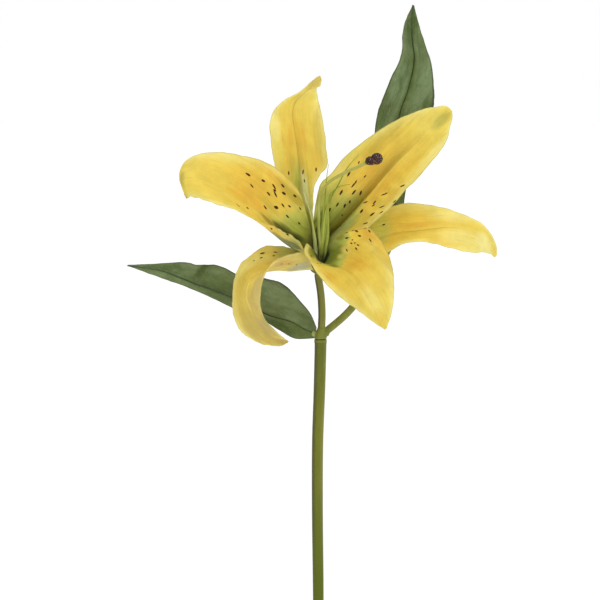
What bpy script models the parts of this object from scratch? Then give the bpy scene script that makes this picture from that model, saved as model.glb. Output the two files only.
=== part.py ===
"""Yellow oriental lily: one open flower and two leaves on one stem, standing in a bottle vase.

Lengths below are millimetres and become metres where the meshes are made.
X points right, Y away from the front and Z up; the origin is the centre of the vase's base.
"""
import math

import bmesh
import bpy
import numpy as np
from mathutils import Matrix, Vector

MM = 0.001
COLLECTION = "oriental_lily_in_vase"
MERGE_DISTANCE = 0.00005

# Clearance between two pieces that touch on the real thing
GAP = 0.3

# Vase
VASE_HEIGHT = 172.0
VASE_BASE_RADIUS = 29.0
VASE_BELLY_RADIUS = 42.0
VASE_BELLY_HEIGHT = 55.0
VASE_NECK_RADIUS = 11.0
VASE_NECK_BOTTOM = 138.0
VASE_NECK_TOP = 158.0
VASE_LIP_RADIUS = 14.0
VASE_LIP_FLARE = (0.4, 4.0)
VASE_SHOULDER = [(18.0, 122.0), (31.0, 100.0), (40.0, 76.0)]
VASE_FLANK = [(39.5, 32.0), (33.5, 12.0)]
VASE_FOOT_EDGE = (1.0, 1.5)
VASE_WALL = 4.0
VASE_SEGMENTS = 40
VASE_PROFILE_STEPS = 14

# Stem, with the collar's underside at the top of it
STEM_FOOT_RADIUS = 2.85
STEM_TOP_RADIUS = 3.55
STEM_FOOT_Y = -1.5
STEM_RADII = [STEM_FOOT_RADIUS] * 6 + [2.95, 3.05, 3.25, 3.4, 3.5, STEM_TOP_RADIUS]
NECK_CLEARANCE = 0.4
COLLAR = Vector((1.0, -10.0, 350.0))
COLLAR_RADIUS = 4.2
COLLAR_HEIGHT = 6.5
COLLAR_FOOT_RADIUS = STEM_TOP_RADIUS + 0.1
COLLAR_EDGE = 0.9
LEAF_SOCKET_RADIUS = 1.9
LEAF_SOCKET_REACH = 4.5
LEAF_SOCKET_HEIGHT = 3.2
BRANCH_RADIUS = 2.0
BRANCH_SOCKET_RADIUS = 2.15
BRANCH_SOCKET_REACH = 5.4
BRANCH_SOCKET_HEIGHT = 1.9
BRANCH_DIRECTION = Vector((0.76, 0.25, 0.57)).normalized()
SOCKET_TAPER = 0.92
STALK_RADIUS = 2.05

# Flower, measured from the middle of the receptacle's top face along its own axis
FLOWER = COLLAR + Vector((-1.0, -2.0, 41.5))
FLOWER_LEAN = 40.0
FLOWER_TURN = 4.0
RECEPTACLE_RADIUS = 5.2
RECEPTACLE_NECK_RADIUS = 2.3
RECEPTACLE_RIM = 0.9
RECEPTACLE_WAIST = 2.6
RECEPTACLE_DEPTH = 4.5
OVARY_RADIUS = 1.3
OVARY_HEIGHT = 11.0
OVARY_SHOULDER = 2.0
OVARY_FOOT = 1.5
STYLE_RADIUS = 0.85
FILAMENT_RING = 2.3
FILAMENT_FOOT = 0.4
FILAMENT_RADIUS = 0.45
FILAMENT_TIP_RADIUS = 0.22
TEPAL_THICKNESS = 0.9
LEAF_THICKNESS = 0.9
INNER_RING = 3.5
OUTER_RING = 4.6
TEPAL_FOOT = 0.7
TEPAL_FOOT_HALF_WIDTH = 1.7

# Counts of faces along and across a tepal or leaf
BLADE_ROWS = 16
BLADE_COLUMNS = 8

# Straight pieces of a tube between two points of its route
TUBE_STEPS = 2

# Spacing of the points that keep a tube's end square
STEM_END_STEP = 2.0
STEM_TOP_STEP = 4.0
FILAMENT_END_STEP = 2.5
TUBE_END_STEP = 1.2

# Sides of the round pieces
TURNED_SEGMENTS = 24
PEG_SEGMENTS = 16
LOBE_SEGMENTS = 14
LOBE_RINGS = 9

# Each tepal: where its foot stands on the receptacle, and three rails from foot to tip.
# The rails are its near edge, midrib and far edge, measured from the flower's centre.
# The crease is 1 for a sharp fold along the midrib and 2 for a smooth trough.
TEPALS = {
    "tepal_inner_left": {
        "foot": (155.0, INNER_RING), "crease": 1.35,
        "near": [(-9, -21, 13), (-15.5, -32, 20.5), (-29.5, -41, 26.5), (-44.5, -47, 33.5),
                 (-59, -50, 39), (-69.5, -49, 42), (-72, -46, 41)],
        "midrib": [(-7.5, -14, 12), (-17.5, -25, 21), (-30.5, -34, 32), (-46, -40, 43),
                   (-61, -44, 52), (-77, -47, 52), (-73.5, -48, 41.5)],
        "far": [(-4.5, -13, 20.5), (-10, -23, 41.5), (-22.5, -27, 56), (-39.5, -30, 63.5),
                (-59, -33, 66), (-77, -37, 60.5), (-74.5, -45, 43)],
    },
    "tepal_outer_top": {
        "foot": (95.0, OUTER_RING), "crease": 1.35,
        "near": [(-9.5, -7, 23.5), (-18, -13, 44), (-25, -17, 59.5), (-27.5, -16, 79),
                 (-22.5, -10, 92.5), (0, -2, 108.5)],
        "midrib": [(-6.5, -5, 23.5), (-9.5, -10, 44), (-11.5, -12, 62), (-13.5, -11, 78),
                   (-14, -7, 92.5), (1, -2, 109)],
        "far": [(-3, -6, 22.5), (-3, -14, 43), (5, -16, 59.5), (3, -14, 75.5),
                (0.5, -8, 92), (1.5, -2, 108)],
    },
    "tepal_inner_upper_right": {
        "foot": (35.0, INNER_RING), "crease": 1.2,
        "near": [(-4, -10, 19.5), (-1, -19, 42), (12.5, -22, 61), (32, -20, 77),
                 (56.5, -14, 90), (72, -8, 91.5)],
        "midrib": [(5, -6, 17), (17.5, -14, 30), (30.5, -19, 45), (45.5, -18, 62),
                   (61.5, -14, 77.5), (74.5, -8, 89.5)],
        "far": [(8, -14, 14.5), (27, -25, 23.5), (43, -32, 38.5), (56, -31, 52),
                (69, -24, 68), (75.5, -10, 86)],
    },
    "tepal_outer_right": {
        "foot": (-25.0, OUTER_RING), "crease": 1.35,
        "near": [(15, -6, 18), (33.5, -12, 31.5), (52.5, -14, 37), (72, -12, 33.5),
                 (91.5, -8, 26), (101.5, -2, 6.5)],
        "midrib": [(16.5, -8, 10.5), (36, -16, 18.5), (54, -20, 22.5), (72.5, -19, 23),
                   (90, -14, 18.5), (101, -4, 6)],
        "far": [(17.5, -12, 3.5), (37.5, -22, 9), (53, -26, 15.5), (71, -26, 13),
                (87.5, -19, 9.5), (99.5, -6, 6)],
    },
    "tepal_inner_front": {
        "foot": (-85.0, INNER_RING), "crease": 1.6,
        "near": [(8, -19, 16.5), (22, -31, 23), (33, -41, 19), (39.5, -52, 6.5),
                 (41, -64, -9), (36.5, -76, -26.5)],
        "midrib": [(2.5, -16, 5.5), (8.5, -29, 4.5), (16, -43, 1), (23, -56, -5),
                   (29.5, -67, -15), (35.5, -76, -28.5)],
        "far": [(-7, -19, 14), (-6, -32, 7), (1.5, -45, -3.5), (11.5, -56, -12),
                (22.5, -67, -20.5), (34.5, -76, -28)],
    },
    "tepal_outer_curled": {
        "foot": (-145.0, OUTER_RING), "crease": 1.35,
        "near": [(-10.5, -19, 9.5), (-21, -34, 7.5), (-30, -43, -1.5), (-32.5, -42, -14.5),
                 (-29, -33, -28), (-22, -23, -37), (-17.5, -14, -40.5)],
        "midrib": [(-10.5, -12, -1), (-22, -25, 0), (-36, -35, -3.5), (-40, -35, -14.5),
                   (-36, -28, -27.5), (-27.5, -19, -37), (-17.5, -13, -41.5)],
        "far": [(-11, 0, 8.5), (-26, -10, 10), (-43.5, -21, 3.5), (-49, -24, -12.5),
                (-45.5, -20, -31.5), (-32, -14, -44), (-17.5, -12, -42)],
    },
}

# Each leaf: the same three rails, measured from the middle of the collar's underside
LEAVES = {
    "leaf_left": {
        "crease": 1.15,
        "near": [(-4.9, 0.3, 4.4), (-13, 7, 21.5), (-24.5, 12, 31.5), (-42, 14, 36),
                 (-60.5, 12, 41.5), (-81.5, 12, 43.5), (-111, 16, 41.5)],
        "midrib": [(-4.9, 0, 3.2), (-12.5, 0, 8), (-25, 2, 12), (-43.5, 5, 20),
                   (-64.5, 8, 29), (-86, 12, 36), (-111.5, 16, 41)],
        "far": [(-4.9, -0.3, 2.0), (-13.5, -4, 0.5), (-28.5, -6, 8.5), (-46, -3, 16),
                (-67, 2, 25.5), (-88, 8, 33), (-111, 16, 40.5)],
    },
    "leaf_upper": {
        "crease": 1.15,
        "near": [(41, 22, 57.5), (36.5, 24, 83), (32, 25, 107.5), (33, 28, 129.5),
                 (41, 31, 149.5), (47.5, 35, 169), (54, 42, 191)],
        "midrib": [(42.5, 22.2, 57.5), (43.5, 30, 79.5), (44, 34, 104), (46.5, 36, 129),
                   (53.5, 37, 151.5), (53.5, 38, 169), (54.2, 42, 191.5)],
        "far": [(44, 22, 57.5), (49, 26, 79.5), (60, 26, 106), (65.5, 28, 133),
                (65.5, 31, 149), (61, 35, 169), (54.5, 42, 191)],
    },
}

# Main stem's sideways wave above its foot, as (x, height)
STEM_WAVE = [(0.0, 80.0), (0.0, VASE_NECK_TOP), (-0.2, 205.0), (-0.7, 250.0), (-0.6, 290.0), (0.4, 320.0)]

# Leaf branch, from its socket to the upper leaf's foot, measured from the collar
BRANCH_ROUTE = [(14, 5.5, 13), (21.5, 11, 21), (28.5, 16, 31),
                (35, 19, 41.5), (39.5, 21, 49.5), (42.2, 22, 56.7)]
BRANCH_RADII = [BRANCH_RADIUS] * 5 + [1.9, 1.75, 1.6, 1.4]

# Flower stalk between the collar and the receptacle, measured from the collar
STALK_ROUTE = [(0.6, 0, 7.0), (0.8, 0.5, 13), (0.6, 1.4, 20), (0, 2.4, 27)]

# Style and filaments above the ovary, measured from the flower's centre
STYLE_ROUTE = [(0, -16, 24.5), (-0.5, -26, 38), (3.5, -34, 47.5), (13, -42, 54.5), (23, -48, 59.5)]
STIGMA_LOBES = [((27.5, -50.0, 62.0), 2.3), ((31.3, -52.0, 63.2), 3.1)]
FILAMENTS = {
    "filament_1": (50.0, [(1.5, -16, 27), (3.5, -25, 39.5), (11, -33, 48.5), (16, -38, 58),
                          (22, -42, 65.5)]),
    "filament_2": (-10.0, [(3.2, -15, 26), (6, -25, 38), (11.5, -32, 45.5), (17, -39, 48.5)]),
    "filament_3": (110.0, [(0.2, -14.9, 27), (2.5, -24.3, 42), (3.5, -28.3, 50.5), (5.5, -31, 60)]),
    "filament_4": (170.0, [(-2.5, -14, 25), (-5, -23, 38.5), (-8, -29, 47)]),
    "filament_5": (230.0, [(-4, -17, 22.5), (-6.5, -25, 34), (-9, -32, 44)]),
    "filament_6": (290.0, [(3.5, -18, 21), (6.5, -25, 31.5), (8.5, -31, 41)]),
}

# Colour, roughness and metallic value of each material
MATERIALS = {
    "petal_yellow": ((0.84, 0.66, 0.12), 0.55, 0.0),
    "leaf_green": ((0.09, 0.16, 0.05), 0.5, 0.0),
    "stem_green": ((0.19, 0.21, 0.035), 0.5, 0.0),
    "style_green": ((0.3, 0.4, 0.08), 0.5, 0.0),
    "stigma_purple": ((0.03, 0.008, 0.012), 0.25, 0.0),
    "vase_glaze": ((0.75, 0.73, 0.68), 0.3, 0.0),
}


def clear_scene():
    """Remove whatever the file already holds."""
    for item in list(bpy.data.objects):
        bpy.data.objects.remove(item, do_unlink=True)


def new_collection(name):
    """A collection linked to the scene."""
    group = bpy.data.collections.new(name)
    bpy.context.scene.collection.children.link(group)
    return group


def material(name):
    """The named material, made once."""
    found = bpy.data.materials.get(name)
    if found:
        return found
    colour, roughness, metallic = MATERIALS[name]
    made = bpy.data.materials.new(name)
    made.use_nodes = True
    shader = made.node_tree.nodes["Principled BSDF"]
    shader.inputs["Base Color"].default_value = (*colour, 1.0)
    shader.inputs["Roughness"].default_value = roughness
    shader.inputs["Metallic"].default_value = metallic
    return made


def add_object(name, data, group, material_name=None, parent=None):
    """An object of mesh or curve data in a collection."""
    made = bpy.data.objects.new(name, data)
    group.objects.link(made)
    made.parent = parent
    if material_name:
        data.materials.append(material(material_name))
    return made


def add_empty(name, place, group):
    """An empty that pieces are measured from."""
    made = bpy.data.objects.new(name, None)
    made.location = place * MM
    group.objects.link(made)
    return made


def flower_rotation():
    """Turns the Z axis onto the flower's own axis."""
    lean = Matrix.Rotation(math.radians(FLOWER_LEAN), 4, "X")
    turn = Matrix.Rotation(math.radians(FLOWER_TURN), 4, "Y")
    return turn @ lean


def on_flower_axis(point):
    """A point given along the flower's own axes, measured from its centre in the part's directions."""
    return flower_rotation().to_3x3() @ Vector(point)


def smooth_curve(points, position):
    """Point on a smooth curve through evenly spaced points, for a position from 0 to 1."""
    count = len(points) - 1
    index = min(int(position * count), count - 1)
    part = position * count - index
    middle_left = np.array(points[index], float)
    middle_right = np.array(points[index + 1], float)
    before = np.array(points[index - 1], float) if index else 2 * middle_left - middle_right
    after = np.array(points[index + 2], float) if index + 2 <= count else 2 * middle_right - middle_left
    linear = (middle_right - before) * part
    square = (2 * before - 5 * middle_left + 4 * middle_right - after) * part ** 2
    cube = (3 * middle_left - before - 3 * middle_right + after) * part ** 3
    return 0.5 * (2 * middle_left + linear + square + cube)


def blend(first, second, start, end, place):
    """Value at a place between a start and an end, from the values at both."""
    return first + (second - first) * ((place - start) / (end - start))


def smooth_route(points, steps):
    """Points along a smooth curve through a route whose own points may lie unevenly."""
    route = [np.array(point, float) for point in points]
    route = [2 * route[0] - route[1]] + route + [2 * route[-1] - route[-2]]
    placed = []
    for index in range(len(route) - 3):
        near = route[index:index + 4]
        lengths = [np.linalg.norm(near[after] - near[after - 1]) ** 0.5 for after in (1, 2, 3)]
        knots = np.cumsum([0.0] + lengths)
        for step in range(steps):
            place = blend(knots[1], knots[2], 0.0, steps, step)
            first = blend(near[0], near[1], knots[0], knots[1], place)
            second = blend(near[1], near[2], knots[1], knots[2], place)
            third = blend(near[2], near[3], knots[2], knots[3], place)
            left = blend(first, second, knots[0], knots[2], place)
            right = blend(second, third, knots[1], knots[3], place)
            placed.append(blend(left, right, knots[1], knots[2], place))
    return placed + [route[-2]]


def blade_point(blade, along, across):
    """Point on a tepal or leaf: along runs 0 to 1 to the tip, across -1 to 1 from near to far edge."""
    near, midrib, far = (smooth_curve(blade[rail], along) for rail in ("near", "midrib", "far"))
    trough = (near + far) / 2 - midrib
    return midrib + (far - near) / 2 * across + trough * abs(across) ** blade["crease"]


def tepal_rails(tepal):
    """The tepal's rails with its foot on the receptacle put first."""
    azimuth, radius = tepal["foot"]
    angle = math.radians(azimuth)
    outward = Vector((math.cos(angle), math.sin(angle), 0.0))
    sideways = Vector((-math.sin(angle), math.cos(angle), 0.0)) * TEPAL_FOOT_HALF_WIDTH
    centre = outward * radius + Vector((0.0, 0.0, TEPAL_FOOT))
    feet = [on_flower_axis(centre + sideways * side) for side in (1.0, 0.0, -1.0)]
    near = Vector(tepal["near"][0])
    if (feet[0] - near).length > (feet[2] - near).length:
        feet.reverse()
    rails = {rail: [tuple(foot)] + tepal[rail] for rail, foot in zip(("near", "midrib", "far"), feet)}
    return {"crease": tepal["crease"], **rails}


def add_blade(name, blade, thickness, material_name, group, parent):
    """A tepal or leaf: a grid laid on its three rails and thickened."""
    mesh = bpy.data.meshes.new(name)
    work = bmesh.new()
    bmesh.ops.create_grid(work, x_segments=BLADE_ROWS, y_segments=BLADE_COLUMNS, size=1.0)
    for vertex in work.verts:
        along = min(max((vertex.co.x + 1.0) / 2.0, 0.0), 1.0)
        vertex.co = Vector(blade_point(blade, along, vertex.co.y)) * MM
    work.to_mesh(mesh)
    work.free()
    made = add_object(name, mesh, group, material_name, parent)
    shell = made.modifiers.new("thickness", "SOLIDIFY")
    shell.thickness = thickness * MM
    shell.offset = 0.0
    mesh.shade_smooth()
    return made


def run_out(start, direction, step):
    """Three points straight out from a start, so that a tube's end is square to the direction."""
    heading = Vector(direction).normalized()
    return [tuple(Vector(start) + heading * step * count) for count in range(3)]


def add_tube(name, route, radii, material_name, group, parent, resolution=2):
    """A tube along a smooth route, its radius running evenly through the given radii."""
    curve = bpy.data.curves.new(name, "CURVE")
    curve.dimensions = "3D"
    curve.bevel_depth = MM
    curve.bevel_resolution = resolution
    curve.use_fill_caps = True
    places = smooth_route(route, TUBE_STEPS)
    thickness = np.interp(np.linspace(0.0, len(radii) - 1.0, len(places)), range(len(radii)), radii)
    spline = curve.splines.new("POLY")
    spline.points.add(len(places) - 1)
    for point, place, radius in zip(spline.points, places, thickness):
        point.co = (*(place * MM), 1.0)
        point.radius = radius
    return add_object(name, curve, group, material_name, parent)


def add_turned(name, profile, segments, material_name, group, parent=None):
    """A solid turned round Z from (radius, height) points, top to bottom on its outer side."""
    mesh = bpy.data.meshes.new(name)
    points = [(radius * MM, 0.0, height * MM) for radius, height in profile]
    edges = [(index, index + 1) for index in range(len(points) - 1)]
    mesh.from_pydata(points, edges, [])
    made = add_object(name, mesh, group, material_name, parent)
    turn = made.modifiers.new("turn", "SCREW")
    turn.steps = segments
    turn.render_steps = segments
    turn.use_merge_vertices = True
    turn.merge_threshold = MERGE_DISTANCE
    turn.use_smooth_shade = True
    return made


def add_join_tool(name, start, direction, reach, radius, group, parent):
    """A short round peg that a Boolean joins to the collar."""
    mesh = bpy.data.meshes.new(name)
    work = bmesh.new()
    bmesh.ops.create_cone(work, cap_ends=True, segments=PEG_SEGMENTS, radius1=radius * MM,
                          radius2=radius * SOCKET_TAPER * MM, depth=reach * MM)
    bmesh.ops.translate(work, verts=work.verts, vec=(0.0, 0.0, reach * MM / 2))
    work.to_mesh(mesh)
    work.free()
    made = add_object(name, mesh, group, parent=parent)
    made.location = Vector(start) * MM
    made.rotation_mode = "QUATERNION"
    made.rotation_quaternion = Vector((0.0, 0.0, 1.0)).rotation_difference(Vector(direction))
    made.hide_render = True
    made.display_type = "WIRE"
    return made


def join_with(target, tool):
    """Boolean union of a tool into the target."""
    join = target.modifiers.new("join_" + tool.name, "BOOLEAN")
    join.operation = "UNION"
    join.object = tool


def vase_profile():
    """Outer side of the vase from lip to base, as (radius, height) points."""
    flare, rise = VASE_LIP_FLARE
    outline = [(VASE_LIP_RADIUS, VASE_HEIGHT), (VASE_NECK_RADIUS + flare, VASE_NECK_TOP + rise)]
    outline += [(VASE_NECK_RADIUS, VASE_NECK_TOP), (VASE_NECK_RADIUS, VASE_NECK_BOTTOM)]
    side = [(VASE_NECK_RADIUS, VASE_NECK_BOTTOM)] + VASE_SHOULDER
    side += [(VASE_BELLY_RADIUS, VASE_BELLY_HEIGHT)] + VASE_FLANK
    side += [(VASE_BASE_RADIUS + VASE_FOOT_EDGE[0], VASE_FOOT_EDGE[1])]
    steps = VASE_PROFILE_STEPS
    outline += [tuple(smooth_curve(side, step / steps)) for step in range(1, steps + 1)]
    outline += [(VASE_BASE_RADIUS, 0.0), (0.0, 0.0)]
    return outline


def add_vase(group):
    """Bottle vase: a turned outer surface thickened inwards."""
    made = add_turned("vase", vase_profile(), VASE_SEGMENTS, "vase_glaze", group)
    shell = made.modifiers.new("wall", "SOLIDIFY")
    shell.thickness = VASE_WALL * MM
    shell.offset = -1.0
    shell.use_even_offset = True
    return made


def stem_route():
    """Stem from its cut end on the vase's floor, past the neck that it leans on, to the collar."""
    facet = math.cos(math.pi / VASE_SEGMENTS)
    lean = (VASE_NECK_RADIUS - VASE_WALL) * facet - STEM_FOOT_RADIUS - NECK_CLEARANCE
    foot_height = VASE_WALL + GAP
    slope = (-lean - STEM_FOOT_Y) / (VASE_NECK_TOP - foot_height)
    foot = run_out((0.0, STEM_FOOT_Y, foot_height), (0.0, 0.0, 1.0), STEM_END_STEP)
    middle = [(x, STEM_FOOT_Y + slope * (z - foot_height), z) for x, z in STEM_WAVE]
    top = run_out((COLLAR.x, COLLAR.y, COLLAR.z - GAP), (0.0, 0.0, -1.0), STEM_TOP_STEP)
    return foot + middle + top[::-1]


def add_stem(group):
    """Main stem below the collar, a little thicker towards it."""
    return add_tube("stem", stem_route(), STEM_RADII, "stem_green", group, None, resolution=3)


def add_collar(group, tools, parent):
    """Moulded collar with a socket for the left leaf and one for the branch."""
    radius, height, edge = COLLAR_RADIUS, COLLAR_HEIGHT, COLLAR_EDGE
    profile = [(0.0, height), (radius - 1.3 * edge, height), (radius - 0.3 * edge, height - edge),
               (radius, height * 0.5), (radius - 0.2 * edge, 0.8 * edge), (COLLAR_FOOT_RADIUS, 0.0),
               (0.0, 0.0)]
    made = add_turned("stem_collar", profile, TURNED_SEGMENTS, "stem_green", group, parent)
    leaf = add_join_tool("leaf_socket_tool", (0.0, 0.0, LEAF_SOCKET_HEIGHT), (-1.0, 0.0, 0.0),
                         LEAF_SOCKET_REACH, LEAF_SOCKET_RADIUS, tools, parent)
    branch = add_join_tool("branch_socket_tool", (0.0, 0.0, BRANCH_SOCKET_HEIGHT), BRANCH_DIRECTION,
                           BRANCH_SOCKET_REACH, BRANCH_SOCKET_RADIUS, tools, parent)
    join_with(made, leaf)
    join_with(made, branch)
    return made


def add_branch(group, parent):
    """Side branch from its socket up behind the flower to the upper leaf."""
    start = Vector((0.0, 0.0, BRANCH_SOCKET_HEIGHT)) + BRANCH_DIRECTION * (BRANCH_SOCKET_REACH + GAP)
    route = run_out(start, BRANCH_DIRECTION, TUBE_END_STEP) + BRANCH_ROUTE
    return add_tube("leaf_branch", route, BRANCH_RADII, "stem_green", group, parent)


def add_stalk(group, parent):
    """Flower stalk, ending square on the underside of the receptacle."""
    underside = FLOWER - COLLAR - on_flower_axis((0.0, 0.0, RECEPTACLE_DEPTH))
    end = underside - on_flower_axis((0.0, 0.0, GAP))
    down = -on_flower_axis((0.0, 0.0, 1.0))
    route = run_out(STALK_ROUTE[0], (0.0, 0.0, 1.0), TUBE_END_STEP) + STALK_ROUTE[1:]
    route += run_out(end, down, TUBE_END_STEP)[::-1]
    radii = [STALK_RADIUS] * len(route)
    return add_tube("flower_stalk", route, radii, "stem_green", group, parent)


def add_receptacle(group, parent):
    """Small cup that carries the tepals, filaments and ovary."""
    top, neck = RECEPTACLE_RADIUS, RECEPTACLE_NECK_RADIUS
    profile = [(0.0, 0.0), (top, 0.0), (top, -RECEPTACLE_RIM), ((top + neck) / 2, -RECEPTACLE_WAIST),
               (neck, -RECEPTACLE_DEPTH), (0.0, -RECEPTACLE_DEPTH)]
    made = add_turned("receptacle", profile, TURNED_SEGMENTS, "stem_green", group, parent)
    made.matrix_basis = flower_rotation()
    return made


def add_ovary(group, parent):
    """Slim capsule standing on the receptacle."""
    radius, height = OVARY_RADIUS, OVARY_HEIGHT
    profile = [(0.0, height), (STYLE_RADIUS, height), (radius, height - OVARY_SHOULDER),
               (radius, GAP + OVARY_FOOT), (0.7 * radius, GAP), (0.0, GAP)]
    made = add_turned("ovary", profile, PEG_SEGMENTS, "style_green", group, parent)
    made.matrix_basis = flower_rotation()
    return made


def add_style(group, parent):
    """Style from the ovary's top out to the stigma."""
    foot = on_flower_axis((0.0, 0.0, OVARY_HEIGHT + GAP))
    start = run_out(foot, on_flower_axis((0.0, 0.0, 1.0)), TUBE_END_STEP)
    lobe, lobe_radius = STIGMA_LOBES[0]
    back = (Vector(STYLE_ROUTE[-1]) - Vector(lobe)).normalized()
    end = run_out(Vector(lobe) + back * (lobe_radius + GAP), back, TUBE_END_STEP)
    route = start + STYLE_ROUTE[:-1] + end[::-1]
    return add_tube("style", route, [STYLE_RADIUS] * len(route), "style_green", group, parent)


def add_stigma(group, tools, parent):
    """Two-lobed knob at the style's end."""
    lobes = []
    for index, (centre, radius) in enumerate(STIGMA_LOBES):
        mesh = bpy.data.meshes.new("stigma")
        work = bmesh.new()
        bmesh.ops.create_uvsphere(work, u_segments=LOBE_SEGMENTS, v_segments=LOBE_RINGS,
                                  radius=radius * MM)
        bmesh.ops.translate(work, verts=work.verts, vec=Vector(centre) * MM)
        work.to_mesh(mesh)
        work.free()
        mesh.shade_smooth()
        if index:
            lobes.append(add_object("stigma", mesh, group, "stigma_purple", parent))
        else:
            lobes.append(add_object("stigma_lobe_tool", mesh, tools, None, parent))
    lobes[0].hide_render = True
    lobes[0].display_type = "WIRE"
    join_with(lobes[1], lobes[0])
    return lobes[1]


def add_filaments(group, parent):
    """Six bare strands standing round the ovary."""
    for name, (azimuth, points) in FILAMENTS.items():
        angle = math.radians(azimuth)
        outward = Vector((math.cos(angle), math.sin(angle), 0.0)) * FILAMENT_RING
        foot = on_flower_axis(outward + Vector((0.0, 0.0, FILAMENT_FOOT)))
        route = run_out(foot, on_flower_axis((0.0, 0.0, 1.0)), FILAMENT_END_STEP) + points
        radii = [FILAMENT_RADIUS] * (len(route) - 1) + [FILAMENT_TIP_RADIUS]
        add_tube(name, route, radii, "style_green", group, parent, resolution=1)


def build():
    """Make every piece."""
    clear_scene()
    group = new_collection(COLLECTION)
    tools = new_collection("cutters")
    collar = add_empty("collar_place", COLLAR, group)
    flower = add_empty("flower_place", FLOWER, group)
    add_vase(group)
    add_stem(group)
    add_collar(group, tools, collar)
    add_branch(group, collar)
    add_stalk(group, collar)
    for name, leaf in LEAVES.items():
        add_blade(name, leaf, LEAF_THICKNESS, "leaf_green", group, collar)
    add_receptacle(group, flower)
    add_ovary(group, flower)
    add_style(group, flower)
    add_stigma(group, tools, flower)
    add_filaments(group, flower)
    for name, tepal in TEPALS.items():
        add_blade(name, tepal_rails(tepal), TEPAL_THICKNESS, "petal_yellow", group, flower)
    bpy.context.view_layer.update()


build()
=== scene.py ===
"""Looks of a yellow oriental lily on one stem in a bottle vase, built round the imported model.

Lengths are millimetres until a mesh is made. X points right, Y away from the camera and Z up.
A place in the flower is given as a pixel of the 600 x 600 frame with its depth, which is its Y.
Colours are display values from 0 to 255 until a node takes them.
"""
import math

import bmesh
import bpy
import numpy as np
from mathutils import Matrix, Vector, noise


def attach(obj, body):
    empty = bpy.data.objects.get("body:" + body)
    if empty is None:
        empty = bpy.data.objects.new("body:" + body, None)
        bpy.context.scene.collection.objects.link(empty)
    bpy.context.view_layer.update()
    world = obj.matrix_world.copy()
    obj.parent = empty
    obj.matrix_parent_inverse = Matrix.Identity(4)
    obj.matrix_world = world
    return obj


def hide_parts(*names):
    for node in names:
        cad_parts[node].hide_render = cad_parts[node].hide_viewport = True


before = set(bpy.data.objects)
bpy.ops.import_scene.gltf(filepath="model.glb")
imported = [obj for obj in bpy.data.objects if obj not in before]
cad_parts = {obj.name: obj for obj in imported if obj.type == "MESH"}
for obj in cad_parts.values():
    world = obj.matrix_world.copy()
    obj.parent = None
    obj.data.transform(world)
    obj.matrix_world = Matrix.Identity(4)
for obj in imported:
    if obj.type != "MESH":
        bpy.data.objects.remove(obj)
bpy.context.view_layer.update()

MM = 0.001
BODY = "root"
FRAME_PIXELS = 600

# Camera
MM_PER_PIXEL = 0.57
CAMERA_DISTANCE = 1400.0
CAMERA_DOWN = math.radians(5.0)
AIM = np.array([-10.773, -15.0, 372.8])
LOOK = np.array([0.0, math.cos(CAMERA_DOWN), -math.sin(CAMERA_DOWN)])
LIFT = np.array([0.0, math.sin(CAMERA_DOWN), math.cos(CAMERA_DOWN)])
EYE = AIM - CAMERA_DISTANCE * LOOK
SENSOR = 36.0
LENS = SENSOR * CAMERA_DISTANCE / (FRAME_PIXELS * MM_PER_PIXEL)

# Light: the soft white all round, and one broad lamp from the upper right and front
WHITE = (1.0, 1.0, 1.0, 1.0)
SOFT_LIGHT = 0.5
KEY_LIGHT = 1.6
KEY_SPREAD = math.radians(70.0)
KEY_FROM = (0.15, -0.5, 0.85)

# Stage: the floor's size in metres, its glow, and how far the camera sees in metres
FLOOR_SIZE = 60.0
FLOOR_GLOW = 0.16
CAMERA_REACH = 200.0

# The part's own dimensions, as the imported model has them
UP = np.array([0.0, 0.0, 1.0])
ASKEW = (0.31, 0.17, 0.94)
GAP = 0.3
COLLAR = np.array([1.0, -10.0, 350.0])
FLOWER = COLLAR + np.array([-1.0, -2.0, 41.5])
FLOWER_LEAN = Matrix.Rotation(math.radians(40.0), 3, "X")
FLOWER_AXES = np.array(Matrix.Rotation(math.radians(4.0), 3, "Y") @ FLOWER_LEAN)
FLOWER_UP = FLOWER_AXES[:, 2]
INNER_RING = 3.5
OUTER_RING = 4.6
TEPAL_FOOT = 0.7
TEPAL_FOOT_HALF_WIDTH = 1.7

# Stations of the points along and across a tepal or leaf, and the scale of its surface map
ALONG = np.linspace(0.0, 1.0, 129)
ACROSS = np.linspace(-1.0, 1.0, 49)
MAP_PER_MM = 0.01

# A pixel's place on a blade is looked for this far round it, and on folds this close to the front one
CATCH_PIXELS = 1.6
CATCH_MARGIN = 0.5
FOLD_DEPTH = 3.0

# Noises that fold a blade (scale along, scale across, shift of the seed) and ruffle its edges
# (scale along, shift, share), and where along it they set in
FOLD_NOISES = [(0.022, 0.11, 0.0), (0.03, 0.4, 7.0), (0.016, 1.1, 19.0)]
QUICK_SHARE = 0.35
RUFFLE_NOISES = [(0.2, 4.0, 1.0), (0.75, 9.0, 0.4)]
SET_IN = (0.08, 0.3)
TEPAL_SEED_STEP = 3.1
LEAF_SEED = 31.0
LEAF_SEED_STEP = 5.3
RIB_RISE = 0.15
RIB_FADE = 0.2
RIM_THINNING = 0.65

# Points of a tube between two of its route, and the angles in degrees over which edges stay sharp
ROUTE_STEPS = 8
BLADE_SHARP = 55.0
TUBE_SHARP = 50.0
TURNED_SHARP = 35.0

# Half length and half width of a freckle of size 1: what is fixed, what goes by chance and what is
# added whatever its size, and how far chance turns it
FRECKLE_LENGTH = (1.15, 0.5, 0.06)
FRECKLE_WIDTH = (0.36, -0.14, 0.09)
FRECKLE_TURN = 0.9

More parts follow.
